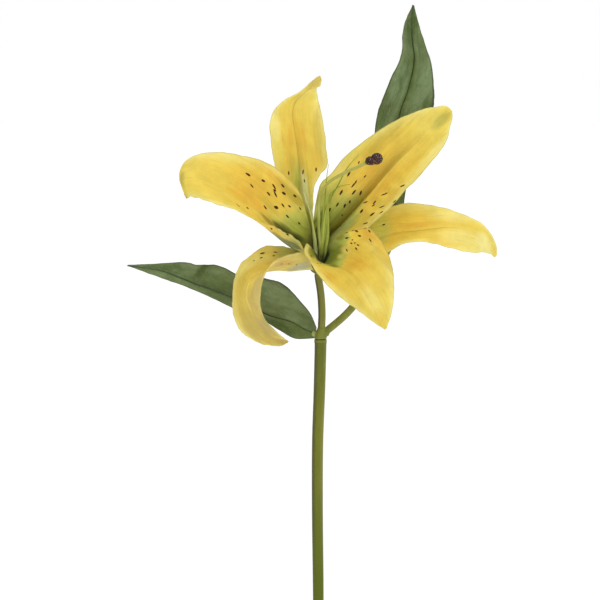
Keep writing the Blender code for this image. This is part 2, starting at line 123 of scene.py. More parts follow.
# Colours of the petals and leaves
LEMON = (237, 213, 93)
PALE = (245, 228, 134)
GOLD = (233, 196, 71)
ORANGE = (226, 176, 58)
OLIVE = (186, 164, 60)
GREEN = (152, 166, 64)
LIME = (192, 196, 92)
DEEP = (104, 118, 34)
# Painted shade deep in the throat
THROAT_SHADE = (52, 62, 20)
FRECKLE = (58, 26, 0)
RUST = (190, 122, 42)
BUFF = (178, 158, 84)
LEAF = (92, 110, 50)
LEAF_LIGHT = (118, 134, 88)
LEAF_DARK = (62, 82, 26)
LEAF_WORN = (122, 128, 76)
# The bloom colour serves the grey bloom and, in patches, painted sheen
LEAF_BLOOM_AND_SHEEN = (132, 152, 108)

# Each tepal or leaf has a near edge, midrib and far edge as (station, pixel x, pixel y, depth).
# Crease: how sharp its trough is. Foot: its azimuth and radius on the receptacle.
# Relief: (fold, pleat, edge wave, wave pitch). Ruffle: waviness of the near and far edge.
# Rib: (start, end, groove depth, reach, line strength). A positive line strength paints a dark line
# in the groove, partly its own colour and partly painted shade, and a negative one a painted highlight
# on the raised ridge. Dents: (pixel x, pixel y, half length, half width, rise). Skin: (half thickness,
# what the foot adds to it, how far up that fades).
# Freckles: (pixel x, pixel y, size). Fan: how far they turn away from the midrib.
# Green: how far up green runs, at places evenly across. Soft: how blurred its end is. Ragged: how
# streaky. Dark: where the painted shade deep in the throat starts to fade and where it is gone.
# Dull: how much tan is mixed in. Value: brightness.
# Shade beside the midrib: (side, plateau, reach, strength, where along it starts to fade, where it
# is gone, tint). Patches on the inner face and on the back: (pixel x, pixel y, half length, half
# width, strength, colour), and how blurred the rim is where that isn't PATCH_BLUR.
# Besides the colour of the cloth, some patches are painted shade in hollows and under neighbouring blades,
# and some are painted light over shadows.
TEPAL_DEFAULTS = {"relief": (0.7, 0.22, 0.35, 0.16), "skin": (0.2, 0.2, 0.15), "dull": 0.0, "value": 1.0,
                  "dark": (0.10, 0.23), "fan": 0.0, "back": []}
LEAF_DEFAULTS = {"relief": (1.0, 0.2, 0.4, 0.11), "skin": (0.22, 0.1, 0.1), "ruffle": (0.35, 0.35),
                 "rib": (0.0, 0.95, 0.7, 0.8)}
PATCH_BLUR = 0.45
TEPALS = {}
TEPALS["tepal_inner_left"] = {
    "foot": (155.0, INNER_RING), "crease": 1.35,
    "near": [
        (0.14, 302.5, 246.8, -33), (0.21, 297.5, 239.5, -39), (0.29, 286, 232.6, -45),
        (0.37, 273, 226.3, -50.5), (0.45, 259.5, 221, -54.5), (0.53, 247, 215.2, -58),
        (0.61, 231, 208.6, -60.5), (0.69, 213, 203, -62), (0.77, 199, 198.6, -62),
        (0.86, 191.5, 196.3, -60.5), (0.93, 188.8, 197.5, -59), (1, 186.8, 198.8, -58)],
    "midrib": [
        (0.14, 305.5, 254.5, -27.5), (0.22, 295.5, 250, -34), (0.3, 284, 241.8, -40),
        (0.38, 270.5, 229.5, -45), (0.46, 254.5, 213, -49), (0.54, 238, 198.5, -52),
        (0.62, 221, 187.5, -54.5), (0.7, 204.5, 180, -57), (0.79, 190, 177.5, -58.5),
        (0.87, 182.5, 180, -59), (0.94, 182.3, 188, -60), (1, 185.8, 197.5, -59)],
    "far": [
        (0.14, 311.1, 232.4, -25), (0.22, 306.5, 212, -31), (0.3, 300.5, 194, -35),
        (0.38, 289.5, 179.5, -37.5), (0.45, 276, 167.5, -39.5), (0.53, 258, 159, -41),
        (0.6, 240, 155.3, -42.5), (0.68, 218, 152.5, -44.5), (0.76, 199, 153.5, -46.5),
        (0.84, 186, 160, -49), (0.9, 180.5, 169, -52), (0.95, 179.5, 179, -55), (1, 184.5, 195, -58)],
    "freckles": [
        (248.3, 175.6, 1.23), (263.6, 180.7, 1.12), (251.3, 186.3, 0.896), (272.6, 186.5, 1.23),
        (274.2, 189.3, 1.01), (282.6, 186, 1.12), (267.6, 194, 1.01), (275.7, 194.3, 1.23),
        (283.9, 194, 1.34), (293.7, 195.8, 1.23), (265.7, 206.6, 1.01), (276, 206.9, 1.51),
        (282.7, 204.4, 1.01), (289.2, 207.3, 0.896), (299.6, 209.3, 0.896), (288.2, 216, 1.01),
        (299, 222.8, 1.01), (237.4, 204.9, 0.896), (247, 208.2, 0.896), (272, 229.4, 0.784),
        (287.2, 234.7, 0.896)],
    "green": (0.16, 0.20, 0.40, 0.35, 0.24), "soft": 0.05, "ragged": 0.18, "value": 0.98,
    "ruffle": (1.0, 0.4), "rib": (0.1, 0.95, 0.3, 0.9, 0.12),
    "shade": (1, 5.0, 8.5, 1.0, 0.27, 0.44, (134, 136, 74)),
    "patches": [
        (262, 185, 17, 13, 0.9, GOLD), (280, 193, 11, 9, 0.8, GOLD), (240, 180, 12, 12, 0.75, GOLD),
        (254, 199, 15, 4, 0.75, ORANGE), (255, 185, 12, 6, 0.4, ORANGE), (274, 178, 10, 4, 0.6, ORANGE),
        (238, 196, 10, 3, 0.6, ORANGE), (268, 204, 9, 3, 0.5, OLIVE), (288, 192, 12, 5, 0.6, OLIVE),
        (297, 198, 12, 3, 0.8, (186, 166, 48)), (286, 178, 12, 2.5, 0.6, GOLD),
        # The dark greens along the lip and at (299, 238) are the throat stripe, deepened with painted shade
        # in the valley under the lip
        (266, 220, 7, 1.3, 0.7, (140, 132, 38), 0.3), (274, 225.5, 6, 1.3, 0.85, DEEP, 0.3),
        (283, 230, 6, 1.5, 0.8, DEEP, 0.35), (299, 238, 6, 2.0, 0.8, (66, 78, 24), 0.5),
        (287, 231, 9, 2.2, 0.65, (92, 96, 28), 0.35), (277.5, 226.5, 6, 1.6, 0.85, (108, 106, 32), 0.4),
        # (181.5, 180) and (187, 198) are painted shade in the curled tip, with a worn mark
        (298, 220, 8, 5, 0.5, LIME), (181.5, 180, 3, 6, 0.6, (176, 158, 70)),
        (187, 198, 3, 3, 0.8, (150, 130, 66))],
    "back": [
        (265, 224.5, 12, 2, 0.8, GOLD), (277, 231, 9, 2, 0.8, GOLD),
        (288, 236.5, 9, 2, 0.8, (214, 204, 104)), (297, 241, 6, 2, 0.7, (188, 192, 108)),
        # (296, 246) and the grey greens after it are the underside below the lip, darkened with painted
        # shade
        (296, 246, 9, 3, 0.95, (100, 112, 62)), (285, 241.5, 9, 2.2, 0.9, (126, 132, 84)),
        (276, 234.5, 7, 1.4, 0.7, (150, 150, 92)), (273, 234.3, 7, 1.6, 0.9, (150, 148, 80)),
        (281.5, 242.2, 7, 1.8, 0.9, (124, 130, 74)), (290.5, 247.6, 7, 1.8, 0.95, (104, 114, 62)),
        (297.5, 251, 6, 2, 0.95, (96, 108, 56)), (271.8, 228.7, 1.4, 0.8, 1.0, FRECKLE, 0.3),
        (287, 234, 1.5, 0.7, 1.0, FRECKLE, 0.3)],
    "dents": [
        (210, 172, 12, 1.6, -0.35), (205, 182, 10, 1.4, 0.3), (232, 178, 12, 2.0, -0.3),
        (262, 176, 9, 4, 0.5), (188, 180, 3, 3, -0.5)]}
TEPALS["tepal_outer_top"] = {
    "foot": (95.0, OUTER_RING), "crease": 1.35,
    "near": [
        (0.17, 302.2, 226.5, -19), (0.25, 296, 208, -22.5), (0.33, 287.2, 190.7, -25),
        (0.41, 279, 176, -27.5), (0.5, 274, 163.5, -29), (0.57, 271, 145, -28.8), (0.65, 270, 126.5, -27.5),
        (0.71, 273, 112.5, -24.5), (0.77, 283, 101, -21.5), (0.83, 299, 92, -18.5), (0.91, 311, 81.5, -16),
        (1, 320, 75.3, -14)],
    "midrib": [
        (0.17, 307.5, 226.3, -17), (0.26, 304.5, 208, -20), (0.34, 301.5, 190, -22),
        (0.42, 299.8, 175, -23.5), (0.5, 298.3, 159, -24), (0.58, 296.6, 144, -24), (0.66, 294.5, 130, -23),
        (0.74, 292.6, 114, -21), (0.8, 295, 103, -19.3), (0.88, 306, 92, -17), (0.94, 315, 83.5, -15),
        (1, 320.8, 77.5, -13.7)],
    "far": [
        (0.17, 313.7, 228, -18), (0.26, 313.2, 210, -23), (0.34, 313.3, 192, -26), (0.42, 318.5, 177, -27.5),
        (0.5, 327.3, 165.5, -28), (0.58, 326.8, 152, -27.5), (0.66, 324.8, 135, -26), (0.74, 322, 116, -23),
        (0.82, 318.3, 100, -19.5), (0.89, 316.8, 89, -16.5), (0.95, 320, 86, -14.5), (1, 321.7, 80, -13.5)],
    "freckles": [(289, 173, 0.9), (303.4, 171.6, 0.9), (304.5, 180.5, 0.8), (316.5, 169, 0.9)],
    "green": (0.30, 0.38, 0.46, 0.38, 0.28), "soft": 0.08, "ragged": 0.2, "dull": 0.06, "ruffle": (0.5, 0.5),
    "rib": (0.2, 0.98, 0.5, 0.7, 0.7), "shade": (1, 0.0, 5.0, 0.3, 0.5, 0.85, BUFF),
    "patches": [
        (296, 132, 12, 4, 0.8, GOLD), (286, 150, 9, 4, 0.7, GOLD), (303, 138, 9, 2.2, 0.6, ORANGE),
        (291, 140, 7, 2, 0.6, ORANGE), (318, 130, 16, 3.5, 0.5, OLIVE), (275, 125, 14, 3.5, 0.8, PALE),
        # (304, 190) is the pale strap at the foot, lightened with painted light where it lies in shade
        (292, 166, 8, 3, 0.5, OLIVE), (304, 190, 12, 3.0, 0.95, (228, 232, 168), 0.45),
        (318, 160, 8, 4, 0.5, GOLD), (305, 94, 7, 5, 0.5, (224, 206, 112)),
        # (279, 150) is painted light over the shade of the dent at (281, 150)
        (315, 81, 7, 6, 0.75, (208, 188, 98)), (279, 150, 6, 4, 0.85, (246, 224, 100))],
    "dents": [(286, 120, 10, 4, 0.7), (310, 125, 12, 4, 0.5), (281, 150, 7, 3, -0.4)]}
TEPALS["tepal_inner_upper_right"] = {
    "foot": (35.0, INNER_RING), "crease": 0.85, "far_crease": 1.3,
    "near": [
        (0.17, 312.3, 233.5, -22), (0.25, 313.8, 216, -27), (0.33, 317.4, 194.8, -31),
        (0.4, 322, 181.5, -33), (0.45, 332, 172.8, -34), (0.5, 341, 160.8, -34), (0.56, 353, 149.5, -33.5),
        (0.63, 368, 138, -32.5), (0.7, 384, 127, -31), (0.77, 402, 117.2, -28.5), (0.84, 420, 110.2, -26),
        (0.91, 435, 106.6, -23), (0.96, 444.5, 106, -21), (1, 449, 108, -20)],
    "midrib": [
        (0.17, 327.8, 237.8, -18), (0.25, 339, 227.5, -22), (0.33, 350.1, 215.7, -26),
        (0.42, 362, 202.5, -29), (0.5, 373.5, 189.4, -31), (0.58, 386.5, 174, -31), (0.67, 400.3, 159, -30),
        (0.75, 414.5, 146, -28), (0.83, 428.6, 131.2, -26), (0.91, 440.5, 119.5, -23),
        (1, 451.2, 110.5, -20)],
    "far": [
        (0.17, 333.3, 243.1, -26), (0.25, 352, 235.5, -32.5), (0.33, 367.5, 228.3, -37),
        (0.38, 376, 221.2, -40), (0.43, 384.3, 214.2, -42), (0.5, 396, 202.2, -44),
        (0.57, 405.5, 189.8, -44), (0.65, 417.5, 178.5, -43), (0.74, 432, 161, -40), (0.82, 443, 147, -36),
        (0.9, 449.5, 131, -29), (0.96, 452.3, 118, -24), (1, 452.5, 112, -21)],
    "freckles": [
        (340.7, 192.3, 1.2), (353.2, 185, 1), (356, 182.5, 0.7), (348.5, 173.6, 1.1), (364, 176.1, 0.6),
        (359.3, 163, 0.6), (353, 192.3, 1.1), (360.8, 192.1, 1.1), (349.8, 201.6, 0.9), (337.7, 205.3, 1),
        (344.1, 205.3, 1.1), (329.6, 208.8, 1), (341.6, 214.9, 0.7), (402.4, 186.1, 1.1),
        (384.5, 194.5, 1.3), (366, 202.1, 0.9), (374.6, 203.1, 1.1), (373.2, 205.4, 0.8), (382.2, 206.4, 1),
        (361.3, 211.8, 1.2), (371.9, 214.5, 1.2), (381, 212.8, 0.8), (394.6, 201.4, 0.8),
        (365.2, 224.1, 0.9)],
    "green": (0.40, 0.39, 0.38, 0.42, 0.46, 0.25, 0.22, 0.21, 0.20), "soft": 0.06, "ragged": 0.2,
    "value": 0.96, "ruffle": (0.35, 0.5), "dark": (0.07, 0.15), "rib": (0.1, 0.62, 0.4, 0.6, 0.3),
    "shade": (-1, 1.0, 10.5, 0.95, 0.42, 0.86, (184, 160, 54)), "fan": 0.25,
    "patches": [
        (365, 160, 18, 6, 0.8, GOLD), (385, 150, 16, 5, 0.6, GOLD), (372, 168, 10, 3, 0.5, ORANGE),
        (385, 186, 16, 4, 0.6, ORANGE), (405, 170, 14, 4, 0.7, GOLD), (372, 205, 9, 4, 0.7, GOLD),
        # (342, 213) and (355, 203) are the olive channel beside the fold, deepened with painted shade
        (392, 196, 8, 3, 0.4, ORANGE), (342, 213, 13, 4.5, 0.9, (116, 120, 32)),
        (355, 203, 8, 2.2, 0.6, (140, 126, 36)), (390, 166, 14, 2.4, 0.4, OLIVE),
        # (385, 139) is painted shade on the near half
        (385, 139, 20, 4, 0.45, OLIVE), (357, 151, 14, 4, 0.6, (220, 200, 78)), (436, 150, 16, 3, 0.9, PALE),
        (441, 120, 8, 4.0, 0.65, (168, 168, 72)), (333, 190, 12, 3, 0.5, LIME),
        # (329, 183) is a painted highlight
        (329, 183, 7, 2.5, 0.5, (228, 220, 96)), (352, 223, 9, 3, 0.85, (196, 192, 82), 0.4),
        # (342, 229) is a painted highlight along the ridge of the fold, and (372, 193) a painted highlight
        # on the fold's edge
        (342, 229, 12, 4, 0.8, (172, 182, 104), 0.5), (317, 208, 14, 2.6, 0.85, (206, 210, 108), 0.45),
        (372, 193, 8, 2.2, 0.85, (236, 198, 76), 0.4), (428, 122, 14, 6, 0.35, (240, 222, 112))],
    "dents": [
        (375, 150, 18, 4, -0.6), (352, 172, 12, 4, 0.5), (400, 178, 14, 3, 0.5), (392, 187, 2.2, 4, 0.7),
        (386, 193, 2.2, 4, -0.8), (381, 199, 2.2, 4, 0.7), (375, 206, 2.4, 4, -0.7), (369, 212, 2.4, 4, 0.7),
        (398, 181, 2.4, 4, -0.7)]}
TEPALS["tepal_outer_right"] = {
    "foot": (-25.0, OUTER_RING), "crease": 1.35,
    "near": [
        (0.17, 345.4, 236, -18), (0.25, 362, 223, -21.5), (0.33, 378.4, 212.8, -24),
        (0.41, 395, 205.5, -25.5), (0.5, 412.3, 203, -26), (0.58, 432, 205.8, -25.5), (0.67, 450, 210, -24),
        (0.75, 467, 215.5, -22), (0.83, 481.5, 223.2, -20), (0.91, 491.5, 235.5, -17.5),
        (0.96, 496.5, 247, -15.5), (1, 497.3, 254.5, -14)],
    "midrib": [
        (0.17, 348.1, 249.5, -20), (0.33, 383, 236.2, -28), (0.41, 399, 232.5, -30), (0.5, 415.3, 231, -32),
        (0.58, 432, 229, -32), (0.67, 448.2, 227.6, -31), (0.75, 464, 229.5, -29), (0.83, 478.6, 235, -26),
        (0.92, 489, 244.5, -21), (1, 496.8, 256, -15.5)],
    "far": [
        (0.17, 350, 262.3, -24), (0.25, 368, 258, -30), (0.33, 386, 253.5, -34), (0.41, 400, 244.5, -36.5),
        (0.5, 416, 242.3, -38), (0.58, 432.5, 244, -38.5), (0.67, 449, 247.8, -38),
        (0.75, 463, 250.8, -35.5), (0.83, 475, 252.5, -31), (0.91, 486, 252.8, -25),
        (0.96, 491.5, 254.5, -20.5), (1, 495, 257.3, -17)],
    "freckles": [(383.5, 224.6, 0.7)], "green": (0.31, 0.32, 0.30, 0.27, 0.22), "soft": 0.06, "ragged": 0.16,
    "ruffle": (0.35, 0.45), "rib": (0.35, 0.8, 0.4, 0.6, 0.4), "shade": (1, 0.0, 3.0, 0.2, 0.5, 0.85, BUFF),
    "patches": [
        (410, 222, 15, 5, 0.8, GOLD), (396, 236, 12, 4, 0.5, GOLD), (418, 226, 14, 2.4, 0.6, ORANGE),
        (445, 242, 12, 4, 0.6, GOLD), (462, 238, 16, 6, 0.7, PALE), (455, 216, 14, 4, 0.7, PALE),
        # (376, 232) is the green foot lightened with painted light, and (379, 226) painted light, where the
        # tepal above casts its shadow
        (484, 243, 9, 7, 0.85, (250, 236, 148)), (376, 232, 8, 10, 0.85, (204, 200, 96)),
        (370, 240, 8, 8, 0.6, (188, 190, 92), 0.5), (379, 226, 9, 9, 0.75, (226, 220, 104), 0.5)],
    "dents": [(430, 238, 14, 3, 0.5), (440, 220, 14, 4, -0.4), (470, 235, 10, 4, 0.4)]}
TEPALS["tepal_inner_front"] = {
    "foot": (-85.0, INNER_RING), "crease": 1.45,
    "near": [
        (0.17, 333.4, 240.1, -31), (0.25, 346, 232.5, -37.5), (0.33, 358.8, 229, -43),
        (0.42, 370.5, 229.3, -48.5), (0.5, 380, 239, -54), (0.58, 387, 250.5, -59), (0.67, 392, 265.5, -65),
        (0.75, 394, 281, -71), (0.83, 394, 297, -77), (0.92, 391.3, 314, -83), (1, 387, 327, -87.5)],
    "midrib": [
        (0.17, 323.8, 264.8, -28), (0.33, 334.5, 265.5, -41), (0.5, 348.4, 270.8, -55),
        (0.67, 361.6, 283.5, -68), (0.83, 374, 303.5, -79), (0.92, 380.5, 317, -84), (1, 385.6, 329, -88)],
    "far": [
        (0.07, 322, 263, -20), (0.12, 314.8, 252, -25.5), (0.165, 307, 243.4, -31),
        (0.2, 304.7, 247.3, -34.5), (0.25, 304.6, 253.3, -38.7), (0.33, 310, 261.5, -45),
        (0.42, 316.5, 272.5, -51), (0.5, 324.5, 282.8, -57.5), (0.58, 334, 292.5, -63),
        (0.67, 344, 300.3, -69), (0.75, 354.5, 308, -74.5), (0.83, 364.5, 315.7, -79.5),
        (0.92, 375, 323.3, -84), (1, 384, 329, -88)],
    "freckles": [
        (345.1, 228.2, 0.9), (351.7, 228.5, 0.8), (356.9, 230.3, 1), (364.6, 228.5, 0.8),
        (369.5, 230.5, 0.8), (360.1, 235.7, 1.1), (346.6, 238.6, 1), (352, 243.4, 0.8), (355, 243.2, 0.7),
        (358.4, 245.7, 0.8), (356.7, 249, 0.9), (347, 249.9, 0.9), (371.4, 240.1, 0.8), (352.5, 240.3, 0.6),
        (310.7, 256, 0.7), (319, 260.3, 0.9), (320.8, 263, 0.8), (318.4, 263.5, 0.6)],
    "green": (0.26, 0.33, 0.43, 0.22, 0.14), "soft": 0.016, "ragged": 0.07, "value": 0.95,
    "ruffle": (0.35, 0.35), "rib": (0.3, 0.7, 0.2, 0.9, 0.0), "shade": (1, 0.0, 2.5, 0.2, 0.5, 0.85, BUFF),
    "patches": [
        (358, 262, 12, 10, 0.9, GOLD), (357, 264, 9, 6, 0.65, ORANGE), (362, 238, 9, 6, 0.8, GOLD),
        (335, 280, 10, 4, 0.7, GOLD), (330, 276, 6, 3, 0.5, ORANGE), (387, 262, 16, 3, 0.5, OLIVE),
        (372, 300, 14, 5, 0.5, PALE), (380, 318, 6, 4, 0.5, GOLD), (334, 256, 9, 9, 0.65, DEEP, 0.4),
        (331, 243, 9, 4, 0.55, (160, 174, 94), 0.4), (327, 255, 6, 3, 0.45, (136, 156, 96), 0.4),
        # (326, 258) and (318, 259) are painted shade deep in the throat
        (326, 258, 4, 6, 1.0, (34, 42, 12), 0.4), (312, 252, 6, 3.2, 0.8, (140, 142, 48), 0.4),
        (318, 259, 6, 2.4, 0.85, (106, 110, 34), 0.4), (366, 232, 9, 4, 0.9, (240, 190, 70)),
        # (355, 236) is painted light where the tepal above casts its shadow
        (355, 236, 8, 5, 0.95, (252, 216, 80)), (379, 240, 9, 4, 0.9, (236, 192, 74)),
        (387, 254, 9, 4, 0.7, GOLD), (347, 251, 6, 3, 0.75, (250, 222, 110), 0.45),
        (341, 256.5, 4, 2, 0.6, (232, 216, 110), 0.45), (333, 266, 7, 2, 0.85, (140, 132, 42), 0.35),
        (340, 237, 4, 3, 0.7, (124, 130, 44), 0.4)],
    "dents": [
        (352, 281, 6, 1.6, 0.5), (360, 297, 12, 2.2, 0.4), (372, 290, 14, 2, -0.4), (383, 300, 12, 2, 0.35)]}
TEPALS["tepal_outer_curled"] = {
    "foot": (-145.0, OUTER_RING), "crease": 1.35,
    "near": [
        (0.14, 302, 252.2, -31), (0.21, 289, 254.7, -39.5), (0.28, 279.5, 258.2, -46.5),
        (0.35, 270.5, 263.7, -51.5), (0.43, 264.3, 272.5, -55), (0.5, 260.8, 285, -55.5),
        (0.57, 260, 299.5, -54), (0.65, 261.8, 311.5, -50), (0.72, 266.5, 321, -45.5),
        (0.79, 273.5, 328, -40), (0.86, 280, 334.5, -34.5), (0.93, 285, 338.2, -30), (1, 288.3, 340.5, -26)],
    "midrib": [
        (0.14, 300.5, 270.2, -24), (0.21, 290, 271, -31), (0.28, 280, 270.2, -37), (0.36, 266, 272, -43),
        (0.43, 254.5, 277, -47), (0.5, 248.8, 286.5, -48), (0.57, 247.3, 297, -47), (0.64, 250, 306, -44.5),
        (0.71, 254.5, 317, -40.5), (0.79, 261.5, 327.5, -36), (0.86, 270.4, 335.5, -31),
        (0.93, 280, 340, -27.5), (1, 288, 341.7, -25)],
    "far": [
        (0.14, 298, 249.3, -12), (0.21, 283.5, 246.6, -17.5), (0.28, 268, 246.3, -23.5),
        (0.36, 252.6, 253.4, -30), (0.43, 242, 262, -33.5), (0.5, 234.8, 273.5, -35.8),
        (0.57, 231.6, 290, -36.2), (0.64, 232.2, 307, -34.8), (0.71, 236.8, 323, -32),
        (0.79, 247, 337, -28.5), (0.86, 262.5, 345, -25.8), (0.93, 279, 346.3, -24.3), (1, 287.5, 342, -24)],
    "freckles": [
        (262, 253.1, 1.0), (275.4, 252.7, 0.75), (260.5, 258.3, 0.8), (273.7, 256.4, 0.65),
        (287.4, 253.6, 0.7), (253.8, 261.3, 0.5)],
    "green": (0.12, 0.16, 0.22, 0.25, 0.24), "soft": 0.04, "ragged": 0.14, "dull": 0.15,
    # The negative rib line paints a highlight along the raised ridge
    "ruffle": (0.5, 1.0), "rib": (0.35, 0.72, -0.6, 0.5, -0.9),
    "shade": (-1, 0.0, 3.0, 0.15, 0.5, 0.85, BUFF),
    "patches": [
        (262, 266, 10, 4, 0.6, GOLD), (255, 298, 18, 5, 0.7, (204, 182, 108)),
        (258, 284, 8, 3, 0.6, (198, 180, 112)), (240, 290, 18, 3, 0.45, OLIVE),
        (254, 326, 16, 8, 0.75, (188, 166, 84)), (269, 330, 13, 5, 0.75, (182, 160, 92)),
        (267, 323, 9, 3.5, 0.8, (170, 154, 90)), (285, 341, 6, 5, 0.8, (158, 138, 70)),
        # (250, 262), (262, 254) and (272, 252) are painted light where the tepal above casts its shadow
        (252, 302, 12, 3, 0.5, (190, 168, 92)), (250, 262, 12, 6, 0.95, (255, 236, 128)),
        (262, 254, 12, 6, 0.95, (255, 234, 124)), (272, 252, 8, 5, 0.9, (250, 226, 112)),
        (272, 340, 9, 5, 0.6, (190, 166, 80))],
    "back": [
        (302, 266, 10, 3, 0.95, (182, 186, 160)), (292, 269, 9, 2.2, 0.8, (176, 178, 146)),
        (284, 263, 11, 4, 0.85, (208, 172, 92)), (281, 263.5, 1.2, 0.6, 0.8, (136, 92, 40)),
        (288.5, 263.8, 1.2, 0.6, 0.8, (136, 92, 40)), (296, 264.5, 1.0, 0.6, 0.8, (136, 92, 40))],
    "dents": [(240, 285, 10, 3, 0.5), (256, 295, 12, 3, -0.4), (245, 322, 8, 4, 0.5), (262, 262, 8, 4, 0.5)]}
LEAVES = {}
LEAVES["leaf_left"] = {
    "crease": 1.15,
    "dents": [
        (182, 267, 9, 5, 1.6), (203, 275, 3.5, 9, -1.6), (223, 275, 8, 6, 1.5), (240, 285, 5, 7, -1.2),
        (282, 297, 12, 8, 1.2), (215, 292, 10, 4, -0.8), (265, 305, 6, 8, -0.6)],
    "near": [
        (0, 316.6, 327.6, -9.7), (0.07, 310.6, 313.8, -6.5), (0.15, 299, 300, -3.5),
        (0.24, 288.5, 288.5, -0.5), (0.33, 277.5, 281.5, 2), (0.41, 263, 278, 3.3), (0.5, 247.5, 275.8, 4),
        (0.56, 236, 274.3, 3.7), (0.61, 225.5, 269, 3), (0.67, 214.5, 264.8, 2), (0.73, 204, 264.7, 1.6),
        (0.78, 196, 264.8, 1.6), (0.83, 186, 262.4, 2), (0.9, 166, 263, 3.5), (0.96, 145, 264.2, 5.2),
        (1, 128, 264.9, 6)],
    "midrib": [
        (0, 315, 333.8, -10), (0.08, 304.5, 329, -10), (0.17, 293, 322.3, -9.8), (0.33, 269, 314.8, -8),
        (0.5, 238, 299, -5), (0.62, 214, 289.5, -3.2), (0.75, 188, 280.5, -0.5), (0.87, 161.5, 271, 2.8),
        (1, 127.4, 265.5, 6)],
    "far": [
        (0, 314.5, 338.3, -10.3), (0.06, 304, 339, -12), (0.12, 295, 338.6, -13.5), (0.2, 283, 332.7, -15),
        (0.28, 270, 324.5, -16), (0.36, 258, 317, -15.3), (0.5, 236, 309, -13), (0.62, 211, 297.5, -9.2),
        (0.75, 184, 285.5, -4.5), (0.87, 158, 276, 0.5), (1, 127.8, 266, 6)],
    "patches": [
        # The bloom-coloured patches are painted sheen and the light patch at (182, 267) painted light on a
        # bulge; the dark patches in the dents' valleys and along the lower edge are painted shade
        (286, 300, 16, 7, 0.75, LEAF_BLOOM_AND_SHEEN), (290, 315, 12, 4, 0.6, LEAF_BLOOM_AND_SHEEN),
        (268, 292, 9, 5, 0.5, LEAF_BLOOM_AND_SHEEN), (272, 322, 14, 4, 0.7, LEAF_DARK),
        (205, 292, 16, 4, 0.3, LEAF_LIGHT), (202, 272, 4, 7, 0.8, LEAF_DARK),
        (213, 284, 16, 9, 0.75, (78, 98, 40)), (182, 267, 9, 4, 0.5, LEAF_LIGHT),
        (215, 280, 10, 4, 0.6, LEAF), (235, 290, 10, 4, 0.6, LEAF_DARK), (150, 268, 14, 3, 0.4, LEAF_DARK)]}
LEAVES["leaf_upper"] = {
    "crease": 1.15,
    "dents": [
        (395, 95, 9, 5, 1.0), (424, 75, 10, 5, 0.9), (408, 50, 7, 4, 0.7), (388, 120, 8, 5, -0.8),
        (420, 110, 9, 6, -0.7)],
    "near": [
        (0, 391, 236.3, 12), (0.17, 383.3, 192.2, 14), (0.33, 375.8, 150, 15), (0.42, 375, 132, 16),
        (0.5, 377.5, 111, 18), (0.58, 384.5, 92, 19.5), (0.66, 391.8, 75, 21), (0.74, 398.8, 61.5, 22.8),
        (0.8, 402, 49, 24.3), (0.86, 403, 36, 26), (0.93, 405.3, 21, 28.8), (1, 412.5, 5.5, 32)],
    "midrib": [
        (0, 393.6, 236.3, 12.2), (0.17, 394.9, 197.7, 20), (0.33, 395.7, 155.4, 24),
        (0.42, 396.8, 131, 25.4), (0.5, 400.5, 111, 26), (0.58, 407, 93.5, 26.6), (0.66, 412.3, 74, 27),
        (0.74, 414.3, 58.5, 27.6), (0.83, 412.6, 43.5, 28), (0.92, 411.5, 24, 30), (1, 413.1, 4.7, 32)],
    "far": [
        (0, 396.2, 236.3, 12), (0.1, 402.9, 213.5, 14.5), (0.17, 404.9, 197.5, 16), (0.23, 408, 182, 16),
        (0.33, 423.8, 152.3, 16), (0.42, 430, 128, 17), (0.5, 433.6, 106, 18), (0.58, 434.3, 92, 19.2),
        (0.66, 433.3, 75, 21), (0.74, 431, 60, 22.8), (0.8, 427.5, 50, 24), (0.87, 422.8, 36, 26),
        (0.93, 418.8, 22, 28.8), (1, 414, 6, 32)],
    "patches": [
        # The bloom-coloured patches are painted sheen, and the dark patches low on the leaf, under the
        # tepals, are painted shade
        (425, 86, 18, 7, 0.8, LEAF_BLOOM_AND_SHEEN), (400, 82, 16, 7, 0.8, LEAF_BLOOM_AND_SHEEN),
        (422, 60, 9, 4, 0.5, LEAF_LIGHT), (384, 122, 14, 5, 0.3, LEAF_DARK),
        (400, 122, 9, 7, 0.6, LEAF_DARK), (410, 36, 10, 4, 0.5, LEAF_DARK), (412, 16, 10, 5, 0.6, LEAF_DARK),
        (430, 115, 9, 4, 0.5, LEAF_DARK)]}


def from_pixel(x, y, depth):
    """The point at a depth on the ray through a pixel."""
    ray = LOOK * CAMERA_DISTANCE + LIFT * (FRAME_PIXELS / 2 - y) * MM_PER_PIXEL
    ray = ray + np.array([(x - FRAME_PIXELS / 2) * MM_PER_PIXEL, 0.0, 0.0])
    return EYE + (depth - EYE[1]) / ray[1] * ray


def to_pixel(points):
    """Pixel x, pixel y and distance of points."""
    ray = np.asarray(points) - EYE
    distance = ray @ LOOK
    scale = CAMERA_DISTANCE / MM_PER_PIXEL / distance
    x = FRAME_PIXELS / 2 + ray[..., 0] * scale
    y = FRAME_PIXELS / 2 - (ray @ LIFT) * scale
    return np.stack([x, y, distance], -1)


def on_flower_axis(points):
    """Points given along the flower's own axes, in the part's directions."""
    return np.asarray(points, float) @ FLOWER_AXES.T


def towards(azimuth):
    """Level direction at an azimuth in degrees."""
    angle = math.radians(azimuth)
    return np.array([math.cos(angle), math.sin(angle), 0.0])


def unit(vectors):
    """Vectors scaled to length 1."""
    return vectors / np.maximum(np.linalg.norm(vectors, axis=-1, keepdims=True), 1e-9)


def smoothstep(low, high, value):
    """0 below low, 1 above high and a smooth rise between them."""
    part = np.clip((np.asarray(value, float) - low) / (high - low), 0.0, 1.0)
    return part * part * (3.0 - 2.0 * part)


